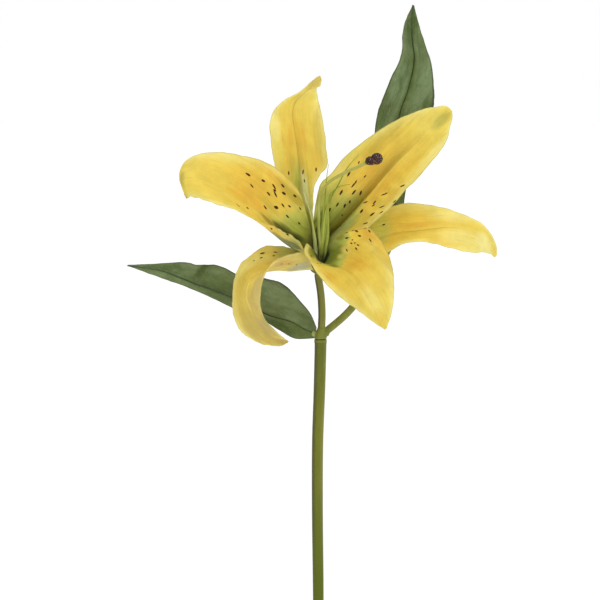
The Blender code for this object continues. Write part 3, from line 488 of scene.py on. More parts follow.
def along_rail(rail, places):
    """Points on the smooth curve through a rail of (station, point), at each given station."""
    stations = np.array([station for station, _ in rail], float)
    points = np.array([point for _, point in rail], float)
    slopes = np.gradient(points, stations, axis=0)
    index = np.clip(np.searchsorted(stations, places, side="right") - 1, 0, len(stations) - 2)
    length = (stations[index + 1] - stations[index])[:, None]
    part = (places - stations[index])[:, None] / length
    start = (2 * part ** 3 - 3 * part ** 2 + 1) * points[index]
    start = start + (part ** 3 - 2 * part ** 2 + part) * length * slopes[index]
    end = (3 * part ** 2 - 2 * part ** 3) * points[index + 1]
    end = end + (part ** 3 - part ** 2) * length * slopes[index + 1]
    return start + end


def rails_of(blade):
    """The blade's three rails as (station, point), with a tepal's foot on the receptacle put first."""
    rails = [[(station, from_pixel(*place)) for station, *place in blade[side]]
             for side in ("near", "midrib", "far")]
    if "foot" in blade:
        azimuth, radius = blade["foot"]
        centre = towards(azimuth) * radius + UP * TEPAL_FOOT
        sideways = towards(azimuth + 90.0) * TEPAL_FOOT_HALF_WIDTH
        feet = [FLOWER + on_flower_axis(centre + sideways * side) for side in (1.0, 0.0, -1.0)]
        near = rails[0][0][1]
        if np.linalg.norm(feet[0] - near) > np.linalg.norm(feet[2] - near):
            feet.reverse()
        for rail, foot in zip(rails, feet):
            rail.insert(0, (0.0, foot))
    return rails


def blade_grid(blade):
    """Middle surface of a blade as a grid of points."""
    near, midrib, far = (along_rail(rail, ALONG)[:, None] for rail in rails_of(blade))
    side = ACROSS[None, :, None]
    trough = (near + far) / 2 - midrib
    crease = np.where(side < 0, blade["crease"], blade.get("far_crease", blade["crease"]))
    return midrib + (far - near) / 2 * side + trough * np.abs(side) ** crease


def grid_normals(grid):
    """Unit normals of a grid of points."""
    return unit(np.cross(np.gradient(grid, axis=0), np.gradient(grid, axis=1)))


def grid_lengths(grid):
    """Each point's distance from the foot along the midrib, and its signed distance from the midrib."""
    middle = grid.shape[1] // 2
    steps = np.linalg.norm(np.diff(grid[:, middle], axis=0), axis=1)
    length = np.concatenate([[0.0], np.cumsum(steps)])[:, None]
    steps = np.linalg.norm(np.diff(grid, axis=1), axis=2)
    width = np.concatenate([np.zeros((len(grid), 1)), np.cumsum(steps, axis=1)], axis=1)
    return np.broadcast_arrays(length, width - width[:, middle:middle + 1])


def placed(grid, marks):
    """Marks with their pixel turned into its place on the blade's nearest visible fold, in mm."""
    seen = to_pixel(grid)
    length, width = grid_lengths(grid)
    found = []
    for x, y, *rest in marks:
        away = np.hypot(seen[..., 0] - x, seen[..., 1] - y)
        caught = away < max(CATCH_PIXELS, float(away.min()) + CATCH_MARGIN)
        front = np.where(caught, seen[..., 2], np.inf).min()
        away = np.where(seen[..., 2] < front + FOLD_DEPTH, away, np.inf)
        spot = np.unravel_index(int(np.argmin(away)), away.shape)
        found.append(((length[spot], width[spot]), *rest))
    return found


def shaped(grid, seed, inner, blade):
    """The grid with its folds, creases, dents and wavy edges."""
    fold, pleat, wave, pitch = blade["relief"]
    normal = grid_normals(grid) * inner
    length, width = grid_lengths(grid)
    edge = np.abs(ACROSS)
    body = smoothstep(*SET_IN, ALONG)[:, None]
    offset = np.zeros(width.shape)
    for spot in np.ndindex(width.shape):
        long, wide = float(length[spot]), float(width[spot])
        slow, quick, pressed = (noise.noise((long * coarse, wide * fine, seed + shift))
                                for coarse, fine, shift in FOLD_NOISES)
        offset[spot] = fold * (slow + QUICK_SHARE * quick) + pleat * pressed
    offset += np.sin(length * pitch + seed) * wave * edge ** 4
    offset *= body
    ruffle = np.array([[sum(share * noise.noise((long * scale, seed, shift))
                            for scale, shift, share in RUFFLE_NOISES)] for long in length[:, 0].tolist()])
    outward = unit(np.gradient(grid, axis=1)) * np.sign(ACROSS)[:, None]
    size = np.where(ACROSS < 0, *blade["ruffle"])
    grid = grid + outward * (size * ruffle * edge ** 5 * body)[..., None]
    start, end, depth, reach = blade["rib"][:4]
    run = smoothstep(start, start + RIB_RISE, ALONG) * (1.0 - smoothstep(end - RIB_FADE, end, ALONG))
    offset -= depth * np.exp(-(width / reach) ** 2) * run[:, None]
    for place, half_length, half_width, rise in placed(grid, blade["dents"]):
        away = ((length - place[0]) / half_length) ** 2 + ((width - place[1]) / half_width) ** 2
        offset += rise * np.exp(-away)
    return grid + normal * offset[..., None]


def inner_sign(grid):
    """1 where the grid's normals point to the flower's axis near the foot, else -1."""
    rows = slice(len(grid) // 12, len(grid) // 4)
    offset = grid[rows] - FLOWER
    inward = FLOWER_UP * (offset @ FLOWER_UP)[..., None] - offset
    return 1.0 if float((grid_normals(grid)[rows] * inward).sum()) > 0 else -1.0


def smooth_mesh(name, vertices, faces, sharp):
    """Mesh of vertices in mm, shaded smooth but for edges over an angle in degrees."""
    mesh = bpy.data.meshes.new(name)
    mesh.from_pydata((np.asarray(vertices) * MM).tolist(), [], faces)
    mesh.validate()
    mesh.shade_smooth()
    mesh.set_sharp_from_angle(angle=math.radians(sharp))
    return mesh


def blade_mesh(name, grid, inner, skin):
    """Closed mesh of a blade. Slot 0 is its inner face and slot 1 its outer face and rim."""
    half, foot, reach = skin
    thickness = (half + foot * (1.0 - smoothstep(0.0, reach, ALONG)))[:, None, None]
    offset = grid_normals(grid) * inner * (thickness * (1.0 - RIM_THINNING * np.abs(ACROSS)[:, None] ** 6))
    count = len(ALONG) * len(ACROSS)
    index = np.arange(count).reshape(len(ALONG), len(ACROSS))
    low, high = index[:-1], index[1:]
    face = np.stack([low[:, :-1], high[:, :-1], high[:, 1:], low[:, 1:]], -1).reshape(-1, 4)
    border = np.concatenate([index[0], index[1:, -1], index[-1, -2::-1], index[-2:0:-1, 0]])
    after = np.roll(border, -1)
    rim = np.stack([border, after, after + count, border + count], -1)
    # Both faces and the rim wind outward
    turn = int(inner)
    faces = np.vstack([face[:, ::turn], face[:, ::-turn] + count, rim[:, ::turn]])
    vertices = np.vstack([(grid + offset).reshape(-1, 3), (grid - offset).reshape(-1, 3)])
    mesh = smooth_mesh(name, vertices, faces.tolist(), BLADE_SHARP)
    mesh.polygons.foreach_set("material_index", [0] * len(face) + [1] * (len(faces) - len(face)))
    corners = np.zeros(len(mesh.loops), int)
    mesh.loops.foreach_get("vertex_index", corners)
    stations = np.broadcast_arrays(ALONG[:, None], (ACROSS + 1) / 2)
    surface = [each * MAP_PER_MM for each in grid_lengths(grid)]
    for layer_name, values in (("station", stations), ("surface", surface)):
        layer = mesh.uv_layers.new(name=layer_name)
        layer.data.foreach_set("uv", np.stack(values, -1).reshape(-1, 2)[corners % count].ravel())
    return mesh


def add_object(name, data):
    """An object in the scene."""
    made = bpy.data.objects.new(name, data)
    bpy.context.scene.collection.objects.link(made)
    return made


def add_piece(name, node, materials, mesh):
    """A piece that stands for a CAD node."""
    made = add_object(name, mesh)
    for each in materials:
        mesh.materials.append(each)
    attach(made, BODY)
    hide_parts(node)
    return made


def linear(colour):
    """Linear colour of display values."""
    parts = [value / 255.0 for value in colour]
    return (*(part / 12.92 if part <= 0.04045 else ((part + 0.055) / 1.055) ** 2.4 for part in parts), 1.0)


class Value:
    """A number worked out by nodes, which can be added to, scaled and run through a ramp."""

    def __init__(self, look, socket):
        self.look = look
        self.socket = socket

    def math(self, operation, other=0.0):
        """Result of a Math node."""
        return self.look.number("Math", {0: self, 1: other}, operation=operation)

    def __add__(self, other):
        return self.math("ADD", other)

    def __sub__(self, other):
        return self.math("SUBTRACT", other)

    def __mul__(self, other):
        return self.math("MULTIPLY", other)

    def __abs__(self):
        return self.math("ABSOLUTE")

    def ramp(self, low, high, start, end):
        """Smooth run from start at low to end at high."""
        inputs = {"Value": self, "From Min": low, "From Max": high, "To Min": start, "To Max": end}
        return self.look.number("MapRange", inputs, "Result", interpolation_type="SMOOTHSTEP")

    def rise(self, low, high, top=1.0):
        """0 below low and top above high."""
        return self.ramp(low, high, 0.0, top)

    def fall(self, low, high, top=1.0):
        """Top below low and 0 above high."""
        return self.ramp(low, high, top, 0.0)


class Look:
    """Nodes of a material or world as they are put together, with the colour and bumps so far."""

    def __init__(self, name, kind="materials"):
        self.owner = getattr(bpy.data, kind).new(name)
        self.owner.use_nodes = True
        self.tree = self.owner.node_tree
        self.colour = None
        self.bumps = {}

    def put(self, socket, value):
        """Links or sets an input."""
        value = getattr(value, "socket", value)
        if isinstance(value, bpy.types.NodeSocket):
            self.tree.links.new(value, socket)
        else:
            socket.default_value = value

    def node(self, kind, inputs, output=0, **settings):
        """An output of a new node with its settings and inputs."""
        made = self.tree.nodes.new("ShaderNode" + kind)
        for name, value in settings.items():
            setattr(made, name, value)
        for key, value in inputs.items():
            self.put(made.inputs[key], value)
        return made.outputs[output]

    def number(self, *described, **settings):
        """An output of a new node as a value."""
        return Value(self, self.node(*described, **settings))

    def parts(self, vector):
        """The three numbers of a vector."""
        return [Value(self, part) for part in self.node("SeparateXYZ", {0: vector}).node.outputs]

    def uv(self, name):
        """The two coordinates of a UV map, and the vector."""
        vector = self.node("UVMap", {}, uv_map=name)
        return (*self.parts(vector)[:2], vector)

    def levels(self, value, heights):
        """Height at a value from 0 to 1, running evenly through the given heights."""
        height = self.number("ValToRGB", {0: value})
        stops = height.socket.node.color_ramp.elements
        while len(stops) < len(heights):
            stops.new(0.5)
        for number, level in enumerate(heights):
            stops[number].position = number / (len(heights) - 1)
            stops[number].color = (level, level, level, 1.0)
        return height

    def noise(self, vector, scale, detail=3.0, rough=0.5):
        """Value of a noise texture, about 0 to 1, with one scale or three."""
        if isinstance(scale, tuple):
            vector = self.node("VectorMath", {0: vector, 1: scale}, operation="MULTIPLY")
            scale = 1.0
        inputs = {"Vector": vector, "Scale": scale, "Detail": detail, "Roughness": rough}
        return self.number("TexNoise", inputs)

    def mix(self, factor, first, second, blend="MIX"):
        """Mix of two colours, each an output or display values."""
        first, second = (linear(each) if isinstance(each, tuple) else each for each in (first, second))
        return self.node("Mix", {0: factor, 6: first, 7: second}, 2, data_type="RGBA", blend_type=blend)

    def tint(self, factor, colour, blend="MIX"):
        """Mixes a colour over the colour so far."""
        self.colour = self.mix(factor, self.colour, colour, blend)

    def bump(self, height, distance, strength):
        """Adds a bump to those so far."""
        inputs = {"Height": height, "Distance": distance, "Strength": strength, **self.bumps}
        self.bumps = {"Normal": self.node("Bump", inputs)}

    def finish(self, roughness, **constants):
        """Sets the shader's inputs and gives the material."""
        inputs = {"Base Color": self.colour, "Roughness": roughness, **self.bumps, **constants}
        for name, value in inputs.items():
            self.put(self.tree.nodes["Principled BSDF"].inputs[name.replace("_", " ")], value)
        return self.owner


def nearness(look, surface, place, half_length, half_width, turn=0.0):
    """0 at a place on the surface and 1 on the ellipse round it."""
    along, across, long, wide = (each * MAP_PER_MM for each in (*place, half_length, half_width))
    mapped = look.node("Mapping", {"Vector": surface, "Location": (along, across, 0.0),
                                   "Rotation": (0.0, 0.0, turn), "Scale": (long, wide, 1.0)},
                       vector_type="TEXTURE")
    return look.number("VectorMath", {0: mapped}, "Value", operation="LENGTH")


def paint(look, patches, surface, ragged):
    """Puts patches over the colour so far, each with its place on the surface and a ragged rim."""
    uneven = ragged * 0.9
    for place, half_length, half_width, strength, tint, *blur in patches:
        blur = blur[0] if blur else PATCH_BLUR
        reach = nearness(look, surface, place, half_length, half_width) + uneven
        look.tint(reach.fall(0.8 - blur, 0.8 + blur, strength), tint)


def petal_material(name, tone, patches, freckles, inner):
    """Petal cloth: green throat, golden middle, lemon margins, fine veins and dark freckles."""
    look = Look(name)
    along, across, _ = look.uv("station")
    _, width, surface = look.uv("surface")
    edge = abs(across * 2.0 - 1.0)
    cloud = look.noise(surface, (6.0, 13.5, 1.5)) - 0.5
    streak = look.noise(surface, (2.5, 42.0, 1.0), 4.0, 0.6) - 0.5
    fine = look.noise(surface, (6.0, 130.0, 1.0), 3.0, 0.6) - 0.5
    ragged = streak * 0.9 + cloud * 0.8
    look.colour = look.mix((streak * 0.5 + edge).rise(0.6, 1.05), LEMON, PALE)
    middle = along.rise(0.12, 0.35) * along.fall(0.62, 0.95) * edge.ramp(0.5, 1.0, 0.55, 0.1)
    look.tint(middle + streak * 0.7, GOLD)
    if inner:
        paint(look, [patch for patch in patches if len(patch) < 6], surface, ragged)
        depth = look.levels(across, tone["green"]) + streak * tone["ragged"] + cloud * 0.12 - along
        throat = look.mix(depth.rise(0.0, 0.14), LIME, GREEN)
        throat = look.mix((streak * 0.3 + depth).rise(0.08, 0.28), throat, DEEP)
        # Painted shade deep in the throat, near the foot
        throat = look.mix(along.fall(*tone["dark"]), throat, THROAT_SHADE)
        look.tint(depth.rise(-tone["soft"], tone["soft"], 0.92), throat)
        paint(look, [patch for patch in patches if len(patch) > 5], surface, ragged)
        # Shade on one side of the midrib, sharp at the fold
        turned, flat, reach, strength, fade, gone, tint = tone["shade"]
        aside = width * (turned / MAP_PER_MM)
        fold = (ragged * 2.5 + aside).fall(flat, reach, strength) * aside.rise(-0.35, 0.1)
        look.tint(fold * along.rise(0.12, 0.25) * along.fall(fade, gone), tint, "MULTIPLY")
        # Midrib line: dark in a groove, partly its own colour and partly painted shade; pale on a raised
        # ridge, a painted highlight
        start, end, _, _, strength = tone["rib"]
        line = abs(width).fall(0.001, 0.006, abs(strength))
        run = along.rise(start, start + RIB_RISE) * along.fall(end - RIB_FADE, end)
        look.tint(line * run, OLIVE if strength > 0 else PALE)
    else:
        back = look.mix(edge.fall(0.0, 0.12, 0.5), (230, 212, 128), LIME)
        back = look.mix(along.fall(0.05, 0.35, 0.7), back, (170, 180, 110))
        look.colour = look.mix(0.6, back, look.colour)
        paint(look, patches, surface, ragged)
    look.tint(tone["dull"], (206, 186, 100))
    look.tint(edge.rise(0.965, 0.995, 0.5), (164, 150, 74))
    # Veins and cloudy patches
    look.tint(fine.rise(0.04, 0.3, 0.32), OLIVE, "MULTIPLY")
    shade = look.noise(surface, 11.0, 5.0, 0.6).ramp(0.28, 0.72, 0.91, 1.04)
    value = (shade + streak * 0.22) * tone["value"]
    look.colour = look.node("HueSaturation", {"Color": look.colour, "Value": value})
    if inner:
        nearest = nearness(look, surface, *freckles[0])
        for freckle in freckles[1:]:
            nearest = nearest.math("MINIMUM", nearness(look, surface, *freckle))
        look.tint(nearest.fall(0.9, 1.8, 0.25), RUST)
        spotted = nearest + look.noise(surface, 170.0, 2.0) * 0.8
        look.tint(spotted.fall(1.42, 1.6), FRECKLE)
    look.bump(streak * 1.2 + fine * 0.8, 0.0004, 0.9)
    look.bump(look.noise(surface, 900.0, 2.0, 0.6), 0.00004, 0.6)
    return look.finish(cloud.ramp(-0.2, 0.2, 0.46, 0.6), Subsurface_Weight=0.12,
                       Subsurface_Radius=(1.0, 0.75, 0.25), Subsurface_Scale=0.0014,
                       Specular_IOR_Level=0.22, Sheen_Weight=0.02, Sheen_Roughness=0.5)


def leaf_material(name, patches, inner):
    """Leaf cloth: mottled green with a pressed midrib darkened by painted shade, faint side veins, a grey
    bloom, and patches of painted sheen and painted shade.
    """
    look = Look(name)
    across = look.uv("station")[1]
    length, width, surface = look.uv("surface")
    cloud = look.noise(surface, 5.0, 5.0, 0.6)
    patch = look.noise(surface, (3.0, 9.0, 1.0), 4.0, 0.6)
    streak = look.noise(surface, (4.0, 60.0, 1.0), 4.0, 0.6)
    blotch = look.noise(surface, 24.0, 4.0, 0.65)
    grain = look.noise(surface, 60.0, 4.0, 0.7)
    look.colour = look.mix(cloud.rise(0.36, 0.66), LEAF, LEAF_LIGHT)
    paint(look, patches, surface, patch + cloud - 1.0)
    look.tint(patch.rise(0.46, 0.72, 0.6), LEAF_DARK)
    look.tint(streak.rise(0.5, 0.8, 0.14), LEAF_DARK)
    look.tint(blotch.rise(0.52, 0.7, 0.3), LEAF_BLOOM_AND_SHEEN)
    look.tint(blotch.fall(0.34, 0.48, 0.25), LEAF_DARK)
    look.tint(grain.rise(0.56, 0.8, 0.35), LEAF_WORN)
    # Painted shade along the pressed midrib
    rib = (abs(width) + streak * 0.004).fall(0.004, 0.011)
    broken = look.noise(surface, (5.0, 1.0, 1.0), 2.0).ramp(0.3, 0.65, 0.7, 1.0)
    look.tint(rib * broken, (50, 66, 26))
    # Side veins leave the midrib at a narrow angle
    slanted = look.node("CombineXYZ", {0: abs(width) * -1.6 + length, 1: width})
    vein = look.number("TexWave", {"Vector": slanted, "Scale": 4.2, "Distortion": 2.5, "Detail": 2.0}, "Fac",
                       wave_type="BANDS", bands_direction="X").rise(0.86, 1.0)
    look.tint(vein * 0.12, LEAF_WORN)
    # Dark rim: the cut edge, with painted shade along it
    look.tint(abs(across * 2.0 - 1.0).rise(0.91, 0.985, 0.8), (54, 64, 36))
    if not inner:
        look.tint(0.35, LEAF_LIGHT)
    look.bump(vein * 0.4 + streak * 0.8, 0.0003, 0.5)
    look.bump(look.noise(surface, 260.0, 3.0, 0.6), 0.00012, 0.5)
    return look.finish(grain.ramp(0.35, 0.7, 0.40, 0.58), Specular_IOR_Level=0.4, Sheen_Weight=0.05,
                       Sheen_Roughness=0.45)


def stem_material(name, light, dark, side_shade_and_seam, shaded_foot=False, pale_left=False, low_green=False, tip=None):
    """Moulded plastic: olive, with painted shade on the side facing left and painted light on the side
    facing right, mottled along its length, with a faint mould seam.
    """
    look = Look(name)
    place = look.node("TexCoord", {}, "Object")
    x, _, height = look.parts(place)
    facing = look.parts(look.node("TexCoord", {}, "Normal"))[0]
    cloud = look.noise(place, (60.0, 60.0, 14.0), 4.0, 0.6)
    fine = look.noise(place, (900.0, 900.0, 90.0), 3.0, 0.6)
    speck = look.noise(place, 420.0, 3.0, 0.6)
    look.colour = look.mix(cloud.rise(0.36, 0.68), light, dark)
    look.tint(fine.rise(0.5, 0.8, 0.4), dark)
    # Painted shade on the side that faces left and painted light on the side that faces right
    turned = (fine - 0.5) * 0.5 + facing
    look.tint(turned.fall(-1.0, -0.25, 1.2 * side_shade_and_seam), (78, 66, 38))
    look.tint(turned.rise(0.3, 0.9, 0.5 * side_shade_and_seam), (150, 144, 72))
    seam = abs(facing + 0.55).fall(0.0, 0.05, 0.5 * side_shade_and_seam)
    look.tint(seam, (70, 66, 36))
    look.tint(speck.rise(0.66, 0.8, 0.35), (92, 84, 38))
    rim = abs(height - (COLLAR[2] - GAP - 0.9) * MM)
    look.tint(rim.fall(0.0002, 0.0009, 0.3), (160, 164, 92))
    if low_green:
        look.tint(((cloud - 0.5) * 0.04 + height).fall(0.2, 0.28, 0.9), (86, 98, 8))
    if pale_left:
        look.tint(x.fall((COLLAR[0] - 4.2) * MM, (COLLAR[0] - 2.8) * MM, 0.8), (176, 186, 124))
    # Painted shade on the strands where they sink into the throat
    if shaded_foot:
        away = look.number("VectorMath", {0: place, 1: tuple(FLOWER * MM)}, "Value", operation="DISTANCE")
        look.tint(away.fall(0.006, 0.018, 0.95), THROAT_SHADE)
        if tip:
            look.tint(away.rise(0.03, 0.055, 0.8), tip)
    look.bump(seam * 1.5 + fine, 0.00018, 0.5)
    look.bump(speck, 0.00008, 0.4)
    return look.finish(speck.ramp(0.3, 0.7, 0.42, 0.56), Specular_IOR_Level=0.24)


def stigma_material():
    """Dark wet-looking knob with painted glints."""
    look = Look("stigma_dark")
    place = look.node("TexCoord", {}, "Object")
    cloud = look.noise(place, 500.0, 3.0, 0.6)
    look.colour = look.mix(cloud.rise(0.35, 0.65), (14, 5, 4), (70, 34, 20))
    # Painted glints on the bumps
    look.tint(look.noise(place, 1500.0, 2.0, 0.4).rise(0.6, 0.66, 0.8), (172, 138, 134))
    look.bump(look.noise(place, 1300.0, 2.0), 0.0003, 0.8)
    return look.finish(cloud.ramp(0.3, 0.7, 0.1, 0.24), Specular_IOR_Level=0.3)


def glaze_material():
    """Plain off-white glaze with faint pooling."""
    look = Look("vase_glaze")
    place = look.node("TexCoord", {}, "Object")
    cloud = look.noise(place, 22.0, 4.0)
    look.colour = look.mix(cloud.rise(0.35, 0.7), (238, 235, 227), (226, 222, 211))
    look.tint(look.parts(place)[2].fall(0.0, 0.03, 0.45), (205, 198, 182))
    look.tint(look.noise(place, 900.0, 2.0, 0.7).rise(0.72, 0.8, 0.3), (170, 158, 135))
    look.bump(cloud, 0.0006, 0.25)
    look.bump(look.noise(place, (20.0, 20.0, 700.0), 2.0), 0.0001, 0.25)
    return look.finish(cloud.ramp(0.3, 0.7, 0.16, 0.26), Coat_Weight=0.4, Coat_Roughness=0.08)


def add_tepals():
    """The six tepals."""
    for number, (name, tepal) in enumerate(TEPALS.items()):
        tepal = {**TEPAL_DEFAULTS, **tepal}
        grid = blade_grid(tepal)
        inner = inner_sign(grid)
        grid = shaped(grid, number * TEPAL_SEED_STEP, inner, tepal)
        freckles = []
        for count, (place, size) in enumerate(placed(grid, tepal["freckles"])):
            chance = noise.noise((count * 1.7, number, 0.3))
            halves = [size * (fixed + part * chance) + added
                      for fixed, part, added in (FRECKLE_LENGTH, FRECKLE_WIDTH)]
            turn = FRECKLE_TURN * chance + tepal["fan"] * float(np.sign(place[1]))
            freckles.append((place, *halves, turn))
        inside = petal_material(name + "_inside", tepal, placed(grid, tepal["patches"]), freckles, True)
        outside = petal_material(name + "_outside", tepal, placed(grid, tepal["back"]), [], False)
        mesh = blade_mesh(name, grid, inner, tepal["skin"])
        add_piece("cloth_" + name, name, [inside, outside], mesh)


def add_leaves():
    """The two leaves."""
    for number, (name, leaf) in enumerate(LEAVES.items()):
        leaf = {**LEAF_DEFAULTS, **leaf}
        grid = blade_grid(leaf)
        inner = -1.0 if grid_normals(grid)[..., 1].mean() > 0 else 1.0
        grid = shaped(grid, LEAF_SEED + number * LEAF_SEED_STEP, inner, leaf)
        patches = placed(grid, leaf["patches"])
        upper = leaf_material(name + "_face", patches, True)
        lower = leaf_material(name + "_back", patches, False)
        add_piece("cloth_" + name, name, [upper, lower], blade_mesh(name, grid, inner, leaf["skin"]))


def blend(first, second, start, end, place):
    """Value at a place between a start and an end, from the values at both."""
    return first + (second - first) * ((place - start) / (end - start))


def smooth_route(points):
    """Points along a smooth curve through a route whose own points may lie unevenly."""
    route = [np.array(point, float) for point in points]
    route = [2 * route[0] - route[1]] + route + [2 * route[-1] - route[-2]]
    curve = []
    for index in range(len(route) - 3):
        near = route[index:index + 4]
        lengths = [np.linalg.norm(near[after] - near[after - 1]) ** 0.5 for after in (1, 2, 3)]
        knots = np.cumsum([0.0] + lengths)
        for step in range(ROUTE_STEPS):
            place = blend(knots[1], knots[2], 0.0, ROUTE_STEPS, step)
            first, second, third = (blend(near[each], near[each + 1], knots[each], knots[each + 1], place)
                                    for each in range(3))
            left = blend(first, second, knots[0], knots[2], place)
            right = blend(second, third, knots[1], knots[3], place)
            curve.append(blend(left, right, knots[1], knots[2], place))
    return np.array(curve + [route[-2]])


def run_out(start, direction, step=1.2):
    """Three points straight out from a start."""
    heading = unit(np.array(direction, float))
    return [np.array(start, float) + heading * step * count for count in range(3)]


def ring_mesh(name, rings, first, last, sharp):
    """Closed mesh through rings of points, with a centre point for each end."""
    sides = len(rings[0])
    top = (len(rings) - 1) * sides
    around = [(side, (side + 1) % sides) for side in range(sides)]
    faces = [(row + side, row + after, row + sides + after, row + sides + side)
             for row in range(0, top, sides) for side, after in around]
    for side, after in around:
        faces += [(after, side, top + sides), (top + side, top + after, top + sides + 1)]
    return smooth_mesh(name, np.vstack([*rings, first, last]), faces, sharp)


def tube_mesh(name, route, radii, sides, round_end=0.0):
    """Closed tube along a smooth route, its radius running evenly through the given radii."""
    places = smooth_route(route)
    size = np.interp(np.linspace(0.0, len(radii) - 1.0, len(places)), range(len(radii)), radii)
    heading = unit(np.gradient(places, axis=0))
    across = unit(np.cross(heading[0], ASKEW if abs(heading[0][2]) < 0.9 else (1.0, 0.0, 0.0)))
    angles = (np.arange(sides) * 2 * math.pi / sides)[:, None]
    rings = []
    for place, direction, radius in zip(places, heading, size):
        across = unit(across - direction * (across @ direction))
        other = np.cross(direction, across)
        rings.append(place + radius * (np.cos(angles) * across + np.sin(angles) * other))
    ends = heading * round_end * size[:, None]
    return ring_mesh(name, rings, places[0] - ends[0], places[-1] + ends[-1], TUBE_SHARP)


def turned_mesh(name, profile, sides, on_flower=True):
    """Solid turned round the flower's axis, or Z, from (radius, height) points."""
    angles = np.arange(sides) * 2 * math.pi / sides
    circle = np.stack([np.cos(angles), np.sin(angles), np.zeros(sides)], -1)
    rings = np.array([radius * circle + UP * height for radius, height in reversed(profile)])
    if on_flower:
        rings = FLOWER + on_flower_axis(rings)
    return ring_mesh(name, rings[1:-1], rings[0, 0], rings[-1, 0], TURNED_SHARP)


def grown(made, voxel):
    """Joins a piece's overlapping forms into one skin."""
    remesh = made.modifiers.new("grown", "REMESH")
    remesh.mode = "VOXEL"
    remesh.voxel_size = voxel
    remesh.use_smooth_shade = True


# Vase, as (radius, height) points. The edge of its floor is rounded off by (radius, height)
VASE_WALL = 4.0
VASE_FLOOR_EDGE = (2.0, 1.0)
VASE_SIDE_STEPS = 60
VASE_NECK_RADIUS = 11.0
VASE_NECK_TOP = 158.0
VASE_SIDE = [(11.0, 138.0), (18.0, 122.0), (31.0, 100.0), (40.0, 76.0), (42.0, 55.0), (39.5, 32.0),
             (33.5, 12.0), (30.0, 1.5)]
VASE_MOUTH = [(7.0, 150.0), (7.05, 158.0), (7.5, 162.0), (8.5, 166.0), (10.0, 169.2), (11.4, 171.9),
              (12.6, 172.9), (13.7, 172.7), (13.3, 173.0), (14.0, 172.0), (13.1, 169.3), (12.1, 166.0),
              (11.4, 162.0), (11.05, 158.0), (11.0, 150.0)]
VASE_BASE = [(29.6, 0.5), (29.0, 0.0), (27.0, 0.0), (26.0, 0.0), (0.0, 0.0)]

# Stem, which leans on a side of the neck's many-sided hole
STEM_FOOT_RADIUS = 2.85
STEM_TOP_RADIUS = 3.55
STEM_FOOT_Y = -1.5
STEM_RADII = [STEM_FOOT_RADIUS] * 5 + [3.15, 3.2, 3.25, 3.35, 3.4, STEM_TOP_RADIUS + 0.1, STEM_TOP_RADIUS]
NECK_SIDES = 40
NECK_CLEARANCE = 0.4
STEM_WAVE = [(0.0, 80.0), (0.0, VASE_NECK_TOP), (-0.2, 205.0), (-0.7, 250.0), (-0.6, 290.0), (0.4, 320.0)]

# Branch, stalk and collar, from the collar's foot. A socket is (direction, foot radius, mouth
# radius, reach, height) and a knob (centre, radius)
BRANCH_DIRECTION = unit(np.array([0.76, 0.25, 0.57]))
BRANCH_HEIGHT = 1.9
BRANCH_SOCKET_REACH = 5.4
BRANCH_SOCKET_DEPTH = 2.0
BRANCH_ROUTE = [(14, 5.5, 13), (21.5, 11, 21), (28.5, 16, 31),
                (35, 19, 41.5), (39.5, 21, 49.5), (42.4, 22.1, 57.9)]
BRANCH_RADII = [2.15] * 5 + [2.0, 1.8, 1.6, 1.25]
STALK_FOOT = (0.6, 0.0, 5.6)
STALK_ROUTE = [(0.8, 0.5, 13), (0.6, 1.4, 20), (0, 2.4, 27)]
STALK_RADII = [2.2] + [2.12] * 8
RECEPTACLE_DEPTH = 4.5
RECEPTACLE = [(0.0, 0.0), (4.9, 0.0), (5.2, -0.3), (5.2, -0.8), (4.6, -1.6), (3.6, -2.6), (2.7, -3.4),
              (2.3, -4.1), (2.2, -RECEPTACLE_DEPTH), (0.0, -RECEPTACLE_DEPTH)]
COLLAR_ROUTE = [(0.0, 0.0, 0.0), (0.0, 0.0, 1.2), (0.1, 0.0, 2.6), (0.35, 0.0, 4.2), (0.55, 0.0, 5.6),
                (0.6, 0.0, 6.7)]
COLLAR_RADII = [3.5, 3.6, 3.4, 2.9, 2.45, 2.25]
COLLAR_VOXEL = 0.0002
COLLAR_KNOBS = [((-3.4, 0.0, 2.9), 1.9), ((3.2, -0.4, 3.3), 2.0)]
COLLAR_SOCKETS = [((-1.0, 0.0, 0.0), 2.3, 1.6, 4.6, 3.0),
                  (BRANCH_DIRECTION, 2.8, 2.2, BRANCH_SOCKET_REACH, BRANCH_HEIGHT)]

# Ovary, stigma, and the style and filaments as (pixel x, pixel y, depth). A filament starts with
# the azimuth of its foot
OVARY_TOP = 11.0
OVARY = [(0.0, OVARY_TOP), (0.85, OVARY_TOP), (1.1, 10.2), (1.3, 9.0), (1.3, 1.8), (0.9, 0.3), (0.0, 0.3)]
STIGMA_LOBES = [((27.5, -50.0, 62.0), 2.3), ((31.3, -52.0, 63.2), 3.1)]
STIGMA_WAIST = ((28.9, -51.2, 62.2), 2.3)
STIGMA_SWELL = 0.15
STIGMA_VOXEL = 0.00016
LUMP_DENSITY = 1.1
LUMP_LEVEL = 0.4
LUMP_RISE = 0.8
STYLE_ROUTE = [(319, 232, -24.5), (318.8, 215, -32), (319.3, 200, -39), (323.3, 188.7, -45),
               (331, 180.7, -49.5), (343.1, 173.6, -54)]
STYLE_END = np.array([23.0, -48.0, 59.5])
STYLE_RADIUS = 0.85
STYLE_TIP_RADII = [0.95, 1.1]
FILAMENT_RING = 2.3
FILAMENT_FOOT = 0.4
FILAMENT_STEP = 2.5
FILAMENT_STATIONS = [0.0, 0.35, 0.58, 0.8, 1.0]
FILAMENT_RADII = [0.9, 1.1, 0.45, 0.3, 0.12]
PALE_FEET = (170.0, 230.0)
